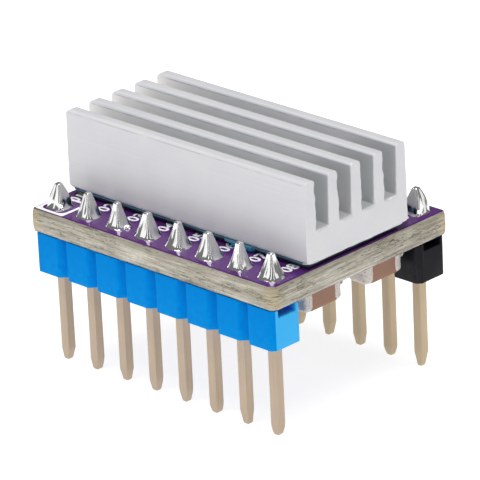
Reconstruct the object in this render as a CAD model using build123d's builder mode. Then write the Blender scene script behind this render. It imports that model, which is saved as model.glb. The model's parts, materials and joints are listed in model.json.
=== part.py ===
from build123d import *
import os
from math import atan2, degrees

# A plug-in stepper driver module: a small circuit board on two rows of header pins, with a finned
# heatsink taped over its top face and the driver chip, its passives and the current-limit trimmer
# soldered under it.
#
# Millimetres. X runs along the pin rows and Z is up. The pins' tips stand on Z = 0, under the middle
# of the board. The logic row is on the -Y side and the power row on the +Y side.

os.makedirs("parts", exist_ok=True)

# ---------------------------------------------------------------- driving dimensions

# Header rows, on the 0.1 inch grid
PITCH = 2.54
PINS_PER_ROW = 8
ROW_SPACING = 5 * PITCH
HEADER_HEIGHT = 2.54
HEADER_WIDTH = 2.5
HEADER_CHAMFER = 0.43
HEADER_GROOVE_WIDTH = 1.5
HEADER_GROOVE_DEPTH = 0.5

# Square header pins
PIN_SIDE = 0.64
PIN_LENGTH = 11.6
PIN_BELOW_HEADER = 6.0
PIN_EDGE_ROUND = 0.05
TIP_LENGTH = 0.85
TIP_SIDE = 0.38
HEAD_LENGTH = 0.5
HEAD_SIDE = 0.4

# Circuit board
BOARD_LENGTH = 20.3
BOARD_WIDTH = 15.2
BOARD_THICKNESS = 1.6
BOARD_CORNER = 0.55
BOARD_EDGE_ROUND = 0.12
PIN_HOLE_RADIUS = 0.5
TEST_HOLE_RADIUS = 0.42
TEST_HOLE_X = -9.2
TEST_HOLE_Y = -4.2

# Solder cones
SOLDER_FOOT_RADIUS = 0.8
SOLDER_WAIST_RADIUS = 0.5
SOLDER_WAIST_HEIGHT = 0.75
SOLDER_TIP_RADIUS = 0.3
SOLDER_HEIGHT = 1.55

# Thermal tape, with one lobe squeezed out past its near edge
TAPE_THICKNESS = 0.45
TAPE_LENGTH = 19.3
TAPE_WIDTH = 8.1
TAPE_CORNER = 0.3
TAPE_LOBE_LENGTH = 2.2
TAPE_LOBE_WIDTH = 0.5
TAPE_LOBE_X = 4.5

# Extruded heatsink
HEATSINK_LENGTH = 20.0
HEATSINK_WIDTH = 8.8
HEATSINK_HEIGHT = 5.1
HEATSINK_X = 0.15
HEATSINK_Y = -0.2
HEATSINK_BASE = 1.9
HEATSINK_FOOT_ROUND = 0.2
HEATSINK_END_ROUND = 0.42
HEATSINK_CUT_ROUND = 0.14
FIN_COUNT = 5
FIN_ROOT = 0.92
FIN_TOP = 0.78
FIN_ROUND = 0.18
SLOT_ROUND = 0.16

# Driver chip, a square leadless package
CHIP_SIDE = 5.0
CHIP_HEIGHT = 0.85
CHIP_STANDOFF = 0.05
CHIP_X = -0.6
CHIP_EDGE_ROUND = 0.06
CHIP_LANDS_PER_SIDE = 7
CHIP_LAND_PITCH = 0.5
CHIP_LAND_WIDTH = 0.25
CHIP_LAND_LENGTH = 0.4
CHIP_LAND_HEIGHT = 0.2
CHIP_PADDLE_SIDE = 3.3
CHIP_DOT_RADIUS = 0.25
CHIP_DOT_DEPTH = 0.04
CHIP_DOT_INSET = 0.7

# Chip components: (length along Y, width along X, height, length of each end cap)
CAPACITOR_1206 = (3.2, 1.6, 1.6, 0.6)
RESISTOR_1206 = (3.2, 1.6, 0.55, 0.45)
CAPACITOR_0603 = (1.6, 0.8, 0.8, 0.3)
RESISTOR_0603 = (1.6, 0.8, 0.45, 0.28)
END_CAP_SKIN = 0.04
END_CAP_ROUND = 0.1

# Where each chip component's middle is
CHIP_COMPONENTS = {
    "supply_capacitor_1": (CAPACITOR_1206, 8.45, -2.35),
    "supply_capacitor_2": (CAPACITOR_1206, 8.45, 2.95),
    "sense_resistor_1": (RESISTOR_1206, 5.2, -2.6),
    "sense_resistor_2": (RESISTOR_1206, 5.2, 2.6),
    "bypass_capacitor_1": (CAPACITOR_0603, -4.4, 3.3),
    "bypass_capacitor_2": (CAPACITOR_0603, 3.0, 3.4),
    "setting_resistor": (RESISTOR_0603, -4.4, -3.3),
}

# Single-turn trimmer, its rotor facing down
TRIMMER_X = -7.4
TRIMMER_LENGTH = 3.6
TRIMMER_WIDTH = 3.3
TRIMMER_HEIGHT = 1.2
TRIMMER_CORNER = 0.15
TRIMMER_RECESS_RADIUS = 1.15
TRIMMER_RECESS_DEPTH = 0.55
TRIMMER_STOP_RADIUS = 1.4
TRIMMER_STOP_ANGLE = 76
TRIMMER_BORE_RADIUS = 0.35
TRIMMER_BORE_DEPTH = 0.45
ROTOR_RADIUS = 1.08
ROTOR_THICKNESS = 0.45
ROTOR_PROUD = 0.15
ROTOR_EDGE_ROUND = 0.08
ROTOR_SHAFT_RADIUS = 0.3
ROTOR_SHAFT_LENGTH = 0.5
ROTOR_SLOT_WIDTH = 0.32
ROTOR_SLOT_LENGTH = 1.6
ROTOR_SLOT_DEPTH = 0.25
ROTOR_TAB_REACH = 1.32
ROTOR_TAB_WIDTH = 0.45
ROTOR_TAB_THICKNESS = 0.25
TRACK_INNER_RADIUS = 0.68
TRACK_OUTER_RADIUS = 1.02
TRACK_THICKNESS = 0.04
TRACK_GAP_ANGLE = 70
WIPER_RING_RADIUS = 0.6
WIPER_THICKNESS = 0.06
WIPER_ARM_REACH = 0.98
WIPER_ARM_WIDTH = 0.24
WIPER_DIMPLE_RADIUS = 0.1
WIPER_DIMPLE_CLEARANCE = 0.02
TERMINAL_WIDTH = 0.6
TERMINAL_THICKNESS = 0.15
TERMINAL_HEIGHT = 0.85
TERMINAL_FOOT = 0.35
TERMINAL_SPREAD = 0.95

# ---------------------------------------------------------------- places worked out from them

BOARD_BOTTOM = PIN_BELOW_HEADER + HEADER_HEIGHT
BOARD_TOP = BOARD_BOTTOM + BOARD_THICKNESS
HEATSINK_BOTTOM = BOARD_TOP + TAPE_THICKNESS
SLOT_FLOOR = HEATSINK_BOTTOM + HEATSINK_BASE
FIN_HEIGHT = HEATSINK_HEIGHT - HEATSINK_BASE
CHIP_BOTTOM = BOARD_BOTTOM - CHIP_STANDOFF - CHIP_HEIGHT
TRIMMER_FACE = BOARD_BOTTOM - TRIMMER_HEIGHT
RECESS_FLOOR = TRIMMER_FACE + TRIMMER_RECESS_DEPTH
ROTOR_BOTTOM = TRIMMER_FACE - ROTOR_PROUD
ROTOR_TOP = ROTOR_BOTTOM + ROTOR_THICKNESS

ROW_Y = {"logic": -ROW_SPACING / 2, "power": ROW_SPACING / 2}
PIN_X = [(index - (PINS_PER_ROW - 1) / 2) * PITCH for index in range(PINS_PER_ROW)]


def taper_angle(wide, narrow, length):
    """The slope in degrees of each side of a prism that narrows over its length."""
    return degrees(atan2((wide - narrow) / 2, length))


def save(part, name):
    """Label a finished piece and write it to its own file."""
    part.label = name
    export_step(part, f"parts/{name}.step")


# ---------------------------------------------------------------- pins and their solder joints

for row, row_y in ROW_Y.items():
    for number, pin_x in enumerate(PIN_X, start=1):
        # A square drawn wire, with a long tapered tip below and a short one inside the solder.
        with BuildPart() as pin:
            with BuildSketch(Plane((pin_x, row_y, TIP_LENGTH))):
                Rectangle(PIN_SIDE, PIN_SIDE)
            extrude(amount=PIN_LENGTH - TIP_LENGTH - HEAD_LENGTH)
            fillet(pin.edges().filter_by(Axis.Z), radius=PIN_EDGE_ROUND)
            lower_end = pin.faces().sort_by(Axis.Z)[0]
            upper_end = pin.faces().sort_by(Axis.Z)[-1]
            extrude(lower_end, amount=TIP_LENGTH, taper=taper_angle(PIN_SIDE, TIP_SIDE, TIP_LENGTH))
            extrude(upper_end, amount=HEAD_LENGTH, taper=taper_angle(PIN_SIDE, HEAD_SIDE, HEAD_LENGTH))
        save(pin.part, f"{row}_pin_{number}")

        # Solder fills the plated hole round the pin and climbs the pin as a hollow-sided cone.
        with BuildPart() as solder:
            with BuildSketch(Plane((pin_x, row_y, 0), x_dir=(1, 0, 0), z_dir=(0, -1, 0))):
                with BuildLine():
                    cone = Spline(
                        (SOLDER_FOOT_RADIUS, BOARD_TOP),
                        (SOLDER_WAIST_RADIUS, BOARD_TOP + SOLDER_WAIST_HEIGHT),
                        (SOLDER_TIP_RADIUS, BOARD_TOP + SOLDER_HEIGHT),
                    )
                    Polyline(
                        cone @ 1,
                        (0, BOARD_TOP + SOLDER_HEIGHT),
                        (0, BOARD_BOTTOM),
                        (PIN_HOLE_RADIUS, BOARD_BOTTOM),
                        (PIN_HOLE_RADIUS, BOARD_TOP),
                        cone @ 0,
                    )
                make_face()
            revolve(axis=Axis((pin_x, row_y, 0), (0, 0, 1)))
            add(pin.part, mode=Mode.SUBTRACT)
        save(solder.part, f"{row}_solder_{number}")

# ---------------------------------------------------------------- header plastics

for row, row_y in ROW_Y.items():
    # Eight moulded cells in a strip, with notches between them and a groove on the board side.
    with BuildPart() as header:
        with BuildSketch(Plane((0, row_y, PIN_BELOW_HEADER))):
            for pin_x in PIN_X:
                with Locations((pin_x, 0)):
                    cell = Rectangle(PITCH, HEADER_WIDTH)
                chamfer(cell.vertices(), length=HEADER_CHAMFER)
        extrude(amount=HEADER_HEIGHT)
        with BuildSketch(Plane((0, row_y, BOARD_BOTTOM))):
            Rectangle(PITCH * PINS_PER_ROW, HEADER_GROOVE_WIDTH)
        extrude(amount=-HEADER_GROOVE_DEPTH, mode=Mode.SUBTRACT)
        with BuildSketch(Plane((0, row_y, PIN_BELOW_HEADER))):
            with GridLocations(PITCH, 0, PINS_PER_ROW, 1):
                RectangleRounded(PIN_SIDE, PIN_SIDE, PIN_EDGE_ROUND)
        extrude(amount=HEADER_HEIGHT, mode=Mode.SUBTRACT)
    save(header.part, f"{row}_header")

# ---------------------------------------------------------------- circuit board

# A plated hole for each pin, and one open test hole beside the first logic pin.
with BuildPart() as board:
    with BuildSketch(Plane.XY.offset(BOARD_BOTTOM)):
        RectangleRounded(BOARD_LENGTH, BOARD_WIDTH, BOARD_CORNER)
    extrude(amount=BOARD_THICKNESS)
    fillet(board.faces().filter_by(Axis.Z).edges(), radius=BOARD_EDGE_ROUND)
    with BuildSketch(Plane.XY.offset(BOARD_BOTTOM)):
        with GridLocations(PITCH, ROW_SPACING, PINS_PER_ROW, len(ROW_Y)):
            Circle(PIN_HOLE_RADIUS)
        with Locations((TEST_HOLE_X, TEST_HOLE_Y)):
            Circle(TEST_HOLE_RADIUS)
    extrude(amount=BOARD_THICKNESS, mode=Mode.SUBTRACT)
save(board.part, "circuit_board")

# ---------------------------------------------------------------- heatsink and its tape

# The tape is smaller than the heatsink all round, but for one lobe on the logic side.
with BuildPart() as tape:
    with BuildSketch(Plane((HEATSINK_X, HEATSINK_Y, BOARD_TOP))):
        RectangleRounded(TAPE_LENGTH, TAPE_WIDTH, TAPE_CORNER)
        with Locations((TAPE_LOBE_X - HEATSINK_X, -TAPE_WIDTH / 2)):
            RectangleRounded(TAPE_LOBE_LENGTH, TAPE_LOBE_WIDTH, TAPE_LOBE_WIDTH * 0.4)
    extrude(amount=TAPE_THICKNESS)
save(tape.part, "thermal_tape")

# An extruded comb: a thick base with upright fins that narrow a little towards their tops.
with BuildPart() as heatsink:
    with BuildSketch(Plane.YZ.offset(HEATSINK_X - HEATSINK_LENGTH / 2)) as comb:
        with Locations((HEATSINK_Y, HEATSINK_BOTTOM + HEATSINK_BASE / 2)):
            Rectangle(HEATSINK_WIDTH, HEATSINK_BASE)
        with Locations((HEATSINK_Y, SLOT_FLOOR + FIN_HEIGHT / 2)):
            with GridLocations((HEATSINK_WIDTH - FIN_ROOT) / (FIN_COUNT - 1), 0, FIN_COUNT, 1):
                Trapezoid(FIN_ROOT, FIN_HEIGHT, 90 - taper_angle(FIN_ROOT, FIN_TOP, FIN_HEIGHT))
        corners = comb.vertices().group_by(Axis.Y)
        slot_corners = corners[1].sort_by(Axis.X)[1:-1]
        fillet(corners[0], radius=HEATSINK_FOOT_ROUND)
        fillet(corners[-1], radius=FIN_ROUND)
        fillet(slot_corners, radius=SLOT_ROUND)
    extrude(amount=HEATSINK_LENGTH)
    # The -X end is tumbled round, and the +X end is as the saw left it.
    with BuildSketch(Plane.XZ) as side_view:
        with Locations((HEATSINK_X, HEATSINK_BOTTOM + HEATSINK_HEIGHT / 2)):
            Rectangle(HEATSINK_LENGTH, HEATSINK_HEIGHT)
        ends = side_view.vertices().group_by(Axis.X)
        fillet(ends[0], radius=HEATSINK_END_ROUND)
        fillet(ends[-1], radius=HEATSINK_CUT_ROUND)
    extrude(amount=HEATSINK_WIDTH, both=True, mode=Mode.INTERSECT)
save(heatsink.part, "heatsink")

# ---------------------------------------------------------------- driver chip

# The lands are set flush in the package's upper face and stand off it by the height of the solder.
with BuildPart() as lands:
    with BuildSketch(Plane((CHIP_X, 0, BOARD_BOTTOM))):
        Rectangle(CHIP_PADDLE_SIDE, CHIP_PADDLE_SIDE)
        with PolarLocations(CHIP_SIDE / 2 - CHIP_LAND_LENGTH / 2, 4):
            with GridLocations(0, CHIP_LAND_PITCH, 1, CHIP_LANDS_PER_SIDE):
                Rectangle(CHIP_LAND_LENGTH, CHIP_LAND_WIDTH)
    extrude(amount=-CHIP_STANDOFF - CHIP_LAND_HEIGHT)
save(lands.part, "driver_chip_lands")

with BuildPart() as chip:
    with BuildSketch(Plane((CHIP_X, 0, CHIP_BOTTOM))):
        Rectangle(CHIP_SIDE, CHIP_SIDE)
    extrude(amount=CHIP_HEIGHT)
    fillet(chip.faces().sort_by(Axis.Z)[0].edges(), radius=CHIP_EDGE_ROUND)
    # The moulded dot marks the first land.
    dot_offset = CHIP_SIDE / 2 - CHIP_DOT_INSET
    with BuildSketch(Plane((CHIP_X - dot_offset, dot_offset, CHIP_BOTTOM))):
        Circle(CHIP_DOT_RADIUS)
    extrude(amount=CHIP_DOT_DEPTH, mode=Mode.SUBTRACT)
    add(lands.part, mode=Mode.SUBTRACT)
save(chip.part, "driver_chip")

# ---------------------------------------------------------------- capacitors and resistors

for name, (size, middle_x, middle_y) in CHIP_COMPONENTS.items():
    length, width, height, cap_length = size

    # The metal end caps wrap the ceramic's ends and stand a little proud of it.
    with BuildPart() as core:
        with BuildSketch(Plane((middle_x, middle_y, BOARD_BOTTOM - END_CAP_SKIN))):
            Rectangle(width - 2 * END_CAP_SKIN, length - 2 * END_CAP_SKIN)
        extrude(amount=-(height - 2 * END_CAP_SKIN))
    save(core.part, name)

    with BuildPart() as end_caps:
        for side in (-1, 1):
            cap_y = middle_y + side * (length - cap_length) / 2
            with BuildSketch(Plane((middle_x, cap_y, BOARD_BOTTOM))):
                Rectangle(width, cap_length)
            extrude(amount=-height)
        outer_faces = end_caps.faces().group_by(Axis.Y)
        outer_edges = outer_faces[0].edges() + outer_faces[-1].edges()
        fillet(outer_edges, radius=END_CAP_ROUND)
        add(core.part, mode=Mode.SUBTRACT)
    save(end_caps.part, f"{name}_end_caps")

# ---------------------------------------------------------------- current-limit trimmer

# The three terminals clip round the base: two on its -X side and the wiper's on its +X side.
with BuildPart() as terminals:
    for side, places in ((-1, (-TERMINAL_SPREAD, TERMINAL_SPREAD)), (1, (0,))):
        outer_x = TRIMMER_X + side * TRIMMER_LENGTH / 2
        for place in places:
            with BuildSketch(Plane((outer_x, place, BOARD_BOTTOM))):
                Rectangle(TERMINAL_THICKNESS * 2, TERMINAL_WIDTH)
            extrude(amount=-TERMINAL_HEIGHT)
            with BuildSketch(Plane((outer_x - side * TERMINAL_FOOT / 2, place, BOARD_BOTTOM))):
                Rectangle(TERMINAL_FOOT, TERMINAL_WIDTH)
            extrude(amount=-TERMINAL_THICKNESS)
save(terminals.part, "trimmer_terminals")

# The base has a round recess for the rotor, and a wider groove that its stop tab swings in.
with BuildPart() as base:
    with BuildSketch(Plane((TRIMMER_X, 0, TRIMMER_FACE))):
        RectangleRounded(TRIMMER_LENGTH, TRIMMER_WIDTH, TRIMMER_CORNER)
    extrude(amount=TRIMMER_HEIGHT)
    with BuildSketch(Plane((TRIMMER_X, 0, TRIMMER_FACE))):
        Circle(TRIMMER_RECESS_RADIUS)
    extrude(amount=TRIMMER_RECESS_DEPTH, mode=Mode.SUBTRACT)
    with BuildSketch(Plane((TRIMMER_X, 0, TRIMMER_FACE))):
        with BuildLine():
            first_angle = -90 + TRIMMER_STOP_ANGLE / 2
            swing = CenterArc((0, 0), TRIMMER_STOP_RADIUS, first_angle, 360 - TRIMMER_STOP_ANGLE)
            Line(swing @ 1, (0, 0))
            Line((0, 0), swing @ 0)
        make_face()
    extrude(amount=TRIMMER_RECESS_DEPTH, mode=Mode.SUBTRACT)
    with BuildSketch(Plane((TRIMMER_X, 0, RECESS_FLOOR))):
        Circle(TRIMMER_BORE_RADIUS)
    extrude(amount=TRIMMER_BORE_DEPTH, mode=Mode.SUBTRACT)
    add(terminals.part, mode=Mode.SUBTRACT)
save(base.part, "trimmer_base")

# The resistive track is a horseshoe on the recess floor, open over the stop.
with BuildPart() as track:
    with BuildSketch(Plane((TRIMMER_X, 0, RECESS_FLOOR))):
        Circle(TRACK_OUTER_RADIUS)
        Circle(TRACK_INNER_RADIUS, mode=Mode.SUBTRACT)
        with BuildLine():
            gap = CenterArc((0, 0), TRIMMER_STOP_RADIUS, -90 - TRACK_GAP_ANGLE / 2, TRACK_GAP_ANGLE)
            Line(gap @ 1, (0, 0))
            Line((0, 0), gap @ 0)
        make_face(mode=Mode.SUBTRACT)
    extrude(amount=-TRACK_THICKNESS)
save(track.part, "trimmer_track")

# The rotor turns on its short shaft. A screwdriver fits the cross slot in its lower face.
with BuildPart() as rotor:
    with BuildSketch(Plane((TRIMMER_X, 0, ROTOR_BOTTOM))):
        Circle(ROTOR_RADIUS)
    extrude(amount=ROTOR_THICKNESS)
    fillet(rotor.faces().sort_by(Axis.Z)[0].edges(), radius=ROTOR_EDGE_ROUND)
    with BuildSketch(Plane((TRIMMER_X, ROTOR_TAB_REACH / 2, ROTOR_TOP))):
        Rectangle(ROTOR_TAB_WIDTH, ROTOR_TAB_REACH)
    extrude(amount=-ROTOR_TAB_THICKNESS)
    with BuildSketch(Plane((TRIMMER_X, 0, ROTOR_TOP))):
        Circle(ROTOR_SHAFT_RADIUS)
    extrude(amount=ROTOR_SHAFT_LENGTH)
    with BuildSketch(Plane((TRIMMER_X, 0, ROTOR_BOTTOM))):
        Rectangle(ROTOR_SLOT_LENGTH, ROTOR_SLOT_WIDTH)
        Rectangle(ROTOR_SLOT_WIDTH, ROTOR_SLOT_LENGTH)
    extrude(amount=ROTOR_SLOT_DEPTH, mode=Mode.SUBTRACT)
save(rotor.part, "trimmer_rotor")

# The wiper is a flat spring ring on the rotor with one arm, whose dimple runs on the track.
with BuildPart() as wiper:
    with BuildSketch(Plane((TRIMMER_X, 0, ROTOR_TOP))):
        Circle(WIPER_RING_RADIUS)
        with Locations((0, WIPER_ARM_REACH / 2)):
            Rectangle(WIPER_ARM_WIDTH, WIPER_ARM_REACH)
        Circle(ROTOR_SHAFT_RADIUS, mode=Mode.SUBTRACT)
    extrude(amount=WIPER_THICKNESS)
    dimple_y = (TRACK_INNER_RADIUS + TRACK_OUTER_RADIUS) / 2
    with BuildSketch(Plane((TRIMMER_X, dimple_y, ROTOR_TOP))):
        Circle(WIPER_DIMPLE_RADIUS)
    extrude(amount=RECESS_FLOOR - TRACK_THICKNESS - WIPER_DIMPLE_CLEARANCE - ROTOR_TOP)
save(wiper.part, "trimmer_wiper")
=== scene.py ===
"""The looks of a plug-in stepper driver module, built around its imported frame.

Everything is in metres and in the frame's own axes: X along the pin rows, Z up from the pin tips.
"""

import json
import math
import random

import bmesh
import bpy
from bpy.props import FloatProperty, FloatVectorProperty, IntProperty, PointerProperty
from mathutils import Matrix, Vector, noise


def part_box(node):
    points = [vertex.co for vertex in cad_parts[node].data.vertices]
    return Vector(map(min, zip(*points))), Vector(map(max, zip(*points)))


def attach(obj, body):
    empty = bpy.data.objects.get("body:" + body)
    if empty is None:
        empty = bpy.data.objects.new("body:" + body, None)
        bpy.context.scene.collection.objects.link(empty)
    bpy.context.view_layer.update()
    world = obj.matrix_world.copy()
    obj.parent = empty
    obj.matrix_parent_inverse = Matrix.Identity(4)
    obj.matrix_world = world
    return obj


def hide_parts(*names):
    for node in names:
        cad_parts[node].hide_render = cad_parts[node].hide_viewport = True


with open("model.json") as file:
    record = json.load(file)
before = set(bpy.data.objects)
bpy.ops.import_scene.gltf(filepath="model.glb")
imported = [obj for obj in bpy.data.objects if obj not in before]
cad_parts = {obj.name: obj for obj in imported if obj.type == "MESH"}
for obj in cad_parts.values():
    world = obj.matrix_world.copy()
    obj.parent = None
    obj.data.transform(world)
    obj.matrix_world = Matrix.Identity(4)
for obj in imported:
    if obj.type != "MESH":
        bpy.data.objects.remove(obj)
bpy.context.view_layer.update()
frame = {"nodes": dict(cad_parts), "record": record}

bl_info = {
    "name": "Stepper Driver Module",
    "version": (1, 0, 0),
    "blender": (4, 5, 0),
    "location": "View3D > Sidebar > Driver Module",
    "description": "Builds the finished surfaces of a plug-in stepper driver module",
    "category": "Object",
}

MM = 0.001
ROWS = ("logic", "power")
PIN_NUMBERS = range(1, 9)
CAPACITORS = ("supply_capacitor_1", "supply_capacitor_2", "bypass_capacitor_1", "bypass_capacitor_2")
RESISTORS = ("sense_resistor_1", "sense_resistor_2", "setting_resistor")
VALUE_MARK = "110"
TEST_HOLE = Vector((-9.2, -4.2)) * MM
DIGIT_SHARE = 0.73  # height of a digit as a share of the font's size

record = frame["record"]
body_of = {node: body for body, nodes in record["behaviour"]["bodies"].items() for node in nodes}

board_low, board_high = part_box("circuit_board")


# ---------------------------------------------------------------- settings


def length(name, description, millimetres):
    """A length setting, given in millimetres."""
    return FloatProperty(
        name=name,
        description=description,
        default=millimetres * MM,
        min=0.0,
        precision=5,
        subtype="DISTANCE",
        unit="LENGTH",
    )


def color(name, description, red, green, blue):
    """A colour setting, in linear light."""
    return FloatVectorProperty(
        name=name,
        description=description,
        default=(red, green, blue, 1.0),
        size=4,
        min=0.0,
        max=1.0,
        subtype="COLOR",
    )


def angle(name, description, degrees):
    """An angle setting, given in degrees."""
    return FloatProperty(
        name=name,
        description=description,
        default=math.radians(degrees),
        subtype="ANGLE",
        unit="ROTATION",
    )


class BoardSettings(bpy.types.PropertyGroup):
    """Sizes and colours of the printed circuit board."""

    mask_color: color("Mask", "Solder mask over bare laminate", 0.088, 0.018, 0.150)
    track_color: color("Tracks", "Solder mask over copper", 0.130, 0.035, 0.210)
    laminate_color: color("Laminate", "Resin at the cut edges", 0.70, 0.66, 0.56)
    fibre_color: color("Fibres", "Glass fibres at the cut edges", 0.30, 0.27, 0.20)
    stain_color: color("Stain", "Flux stain at the laminate's corners", 0.56, 0.45, 0.25)
    legend_color: color("Legend", "Printed numbers and marks", 1.0, 1.0, 1.0)
    corner: length("Corner", "Radius of the outline's rounder corners", 0.55)
    tight_corner: length("Tight corner", "Radius of the outline's sharper corners", 0.16)
    lip: length("Lip", "How far the mask's rim lies inside the laminate", 0.15)
    hole: length("Pin holes", "Radius of the plated pin holes", 0.5)
    test_hole: length("Test hole", "Radius of the open test hole", 0.42)
    track_height: length("Track height", "How far the tracks stand out under the mask", 0.03)
    legend_height: length("Number height", "Height of the printed pin numbers", 0.86)
    legend_thickness: length("Ink", "Thickness of the printed ink", 0.012)
    legend_gap: length("Number gap", "From a pin's middle to the near side of its number", 0.98)
    value_height: length("Value height", "Height of the value printed on a resistor", 0.62)
    mark_reach: length("Mark", "Half the width of the square round the first pin", 1.19)
    mark_line: length("Mark line", "Width of the square's line", 0.22)


class HeaderSettings(bpy.types.PropertyGroup):
    """Sizes and colours of the header plastics and pins."""

    logic_color: color("Logic plastic", "Plastic of the logic row", 0.0, 0.235, 0.70)
    power_color: color("Power plastic", "Plastic of the power row", 0.006, 0.006, 0.008)
    # The two cut colours are lighter copies of the row plastics: painted light on the strips' ends and in
    # their grooves.
    logic_cut: color("Cut blue", "Cut end of the logic row", 0.065, 0.49, 0.96)
    power_cut: color("Cut black", "Cut end of the power row", 0.010, 0.010, 0.013)
    logic_plating: color("Logic pins", "Plating of the logic row's pins", 0.555, 0.435, 0.32)
    power_plating: color("Power pins", "Plating of the power row's pins", 0.585, 0.46, 0.30)
    notch: length("Notch", "Depth of the notches between the cells", 0.43)
    groove_width: length("Groove width", "Width of the groove on the board side", 1.5)
    groove_depth: length("Groove depth", "Depth of the groove on the board side", 0.5)
    edge: length("Moulded edge", "Radius of the moulded edges", 0.05)
    end_cut: length("End cut", "What the cut at each end takes off the strip", 0.12)
    tip_length: length("Tip length", "Length of the pins' lower taper", 0.85)
    tip_side: length("Tip side", "Width of the pins' lower ends", 0.38)
    seed: IntProperty(name="Seed", description="Which set of pin tips is made", default=4)
    head_length: length("Head length", "Length of the pins' upper taper", 1.4)
    head_side: length("Head side", "Width of the pins' upper ends", 0.2)


class SolderSettings(bpy.types.PropertyGroup):
    """Shape of the hand-made solder joints."""

    metal_color: color("Solder", "Bright frozen solder", 0.90, 0.90, 0.89)
    foot: length("Foot", "Radius of a joint where it meets the board", 0.755)
    tip: length("Tip", "Half the width of a joint at its top", 0.222)
    seed: IntProperty(name="Seed", description="Which set of joints is made", default=11)


class HeatsinkSettings(bpy.types.PropertyGroup):
    """Sizes and colour of the extruded heatsink, and colour of its tape."""

    metal_color: color("Aluminium", "Clear anodised aluminium", 0.70, 0.695, 0.71)
    tape_color: color("Tape", "Thermal tape pressed out on the board", 0.01, 0.34, 0.62)
    # The tape's side is painted near-black as the shade under the heatsink.
    painted_shade_color: color("Tape in painted shade", "Side of the thermal tape", 0.002, 0.010, 0.035)
    lip_color: color("Tape lip", "Adhesive lip along the heatsink's foot", 0.03, 0.17, 0.26)
    adhesive_color: color("Adhesive", "Pale adhesive under the heatsink's sawn end", 0.62, 0.66, 0.68)
    # Lighter rubbed edges: wear, and a painted edge highlight.
    rubbed_and_highlit_color: color("Rubbed edge highlight", "Rubbed edges of the heatsink", 0.93, 0.93, 0.94)
    # The slot colours are painted light and shade: walls lighter than the metal, lightest near the tumbled
    # end, darker near the sawn end.
    slot_painted_color: color("Slots", "Walls of the slots", 0.755, 0.76, 0.77)
    tumbled_slot_painted_color: color("Tumbled slots", "Walls of the slots at the tumbled end", 0.88, 0.87, 0.86)
    sawn_slot_painted_color: color("Sawn slots", "Walls of the slots at the sawn end", 0.50, 0.505, 0.515)
    # Both lines are painted shade under the fins' top edges, as of a small step there.
    line_color: color("Fin shade line", "Drawn line inside the slots, under the fins' tops", 0.46, 0.51, 0.65)
    side_shade_line_color: color("Side shade line", "Drawn line on the heatsink's long sides", 0.52, 0.51, 0.52)
    fins: IntProperty(name="Fins", description="Number of fins", default=5, min=2)
    base: length("Base", "Thickness of the base under the slots", 1.9)
    fin_root: length("Fin root", "Thickness of a fin at the base", 0.92)
    fin_top: length("Fin top", "Thickness of a fin at its top", 0.78)
    foot_round: length("Foot round", "Radius of the lower long edges", 0.2)
    fin_round: length("Fin round", "Radius of the fins' top edges", 0.18)
    slot_round: length("Slot round", "Radius at the bottom of the slots", 0.07)
    tumbled: length("Tumbled end", "Radius of the corners at the -X end", 0.42)
    cut: length("Cut edge", "Radius of the sawn edges", 0.06)


class ComponentSettings(bpy.types.PropertyGroup):
    """Colours of the parts under the board."""

    epoxy_color: color("Chip epoxy", "Moulding compound of the driver chip", 0.018, 0.018, 0.02)
    tin_color: color("Tin", "Tinned copper", 0.78, 0.77, 0.74)
    capacitor_color: color("Capacitor", "Fired ceramic of the capacitors", 0.335, 0.165, 0.098)
    end_cap_color: color("End caps", "Granular metal of the end caps", 0.80, 0.735, 0.67)
    glaze_color: color("Resistor", "Glass overcoat of the resistors", 0.012, 0.012, 0.013)
    trimmer_color: color("Trimmer", "Ceramic base of the trimmer", 0.74, 0.71, 0.64)
    rotor_color: color("Rotor", "Stamped steel of the trimmer's rotor", 0.62, 0.60, 0.56)
    brass_color: color("Wiper", "Spring brass of the trimmer's wiper", 0.75, 0.55, 0.25)
    film_color: color("Film", "Resistive film of the trimmer", 0.02, 0.02, 0.02)
    large_wrap: length("Large wrap", "Length of the large capacitors' end caps", 0.76)
    small_wrap: length("Small wrap", "Length of the small parts' end caps", 0.32)
    chip_dot: length("Dot", "Radius of the dot on the driver chip", 0.25)
    dot_place: length("Dot place", "From the dot's middle to the chip's sides", 0.7)


class TrimmerSettings(bpy.types.PropertyGroup):
    """Sizes of the current-limit trimmer."""

    recess: length("Recess", "Radius of the recess in the base", 1.4)
    stop_recess: length("Stop", "Radius of the recess at the stop", 1.15)
    stop_angle: angle("Stop angle", "Half the angle that the stop takes", 38.0)
    recess_depth: length("Recess depth", "Depth of the recess", 0.55)
    rotor: length("Rotor", "Radius of the rotor", 1.08)
    tab: length("Tab", "Half the width of the rotor's tab", 0.225)
    rotor_thickness: length("Rotor thickness", "Thickness of the rotor's cap", 0.45)
    slot_reach: length("Slot reach", "Half the length of each slot of the cross", 0.8)
    slot_half: length("Slot", "Half the width of each slot of the cross", 0.16)
    slot_depth: length("Slot depth", "Depth of the cross", 0.25)
    terminal: length("Terminal", "How far a terminal reaches in, and half its width", 0.3)
    outer_terminals: length("Outer terminals", "From the middle to each of the paired terminals", 0.95)


class StageSettings(bpy.types.PropertyGroup):
    """Floor, lights and camera."""

    floor_color: color("Floor", "Pale studio floor", 0.45, 0.45, 0.45)
    glow_color: color("Glow colour", "Colour of the light through the floor", 0.92, 0.92, 0.92)
    floor_glow: FloatProperty(name="Floor glow", description="Light through the floor", default=0.90)
    sky_glow: FloatProperty(name="Sky glow", description="Light from all round", default=0.19)
    azimuth: angle("Azimuth", "Direction of the camera round the module", 44.932)
    elevation: angle("Elevation", "Height of the camera above the horizon", 22.606)
    roll: angle("Roll", "Roll of the camera", -2.735)
    distance: length("Distance", "Camera to the middle of the module", 283.4)
    lens: FloatProperty(name="Lens", description="Focal length", default=350.1, unit="CAMERA")


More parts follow.
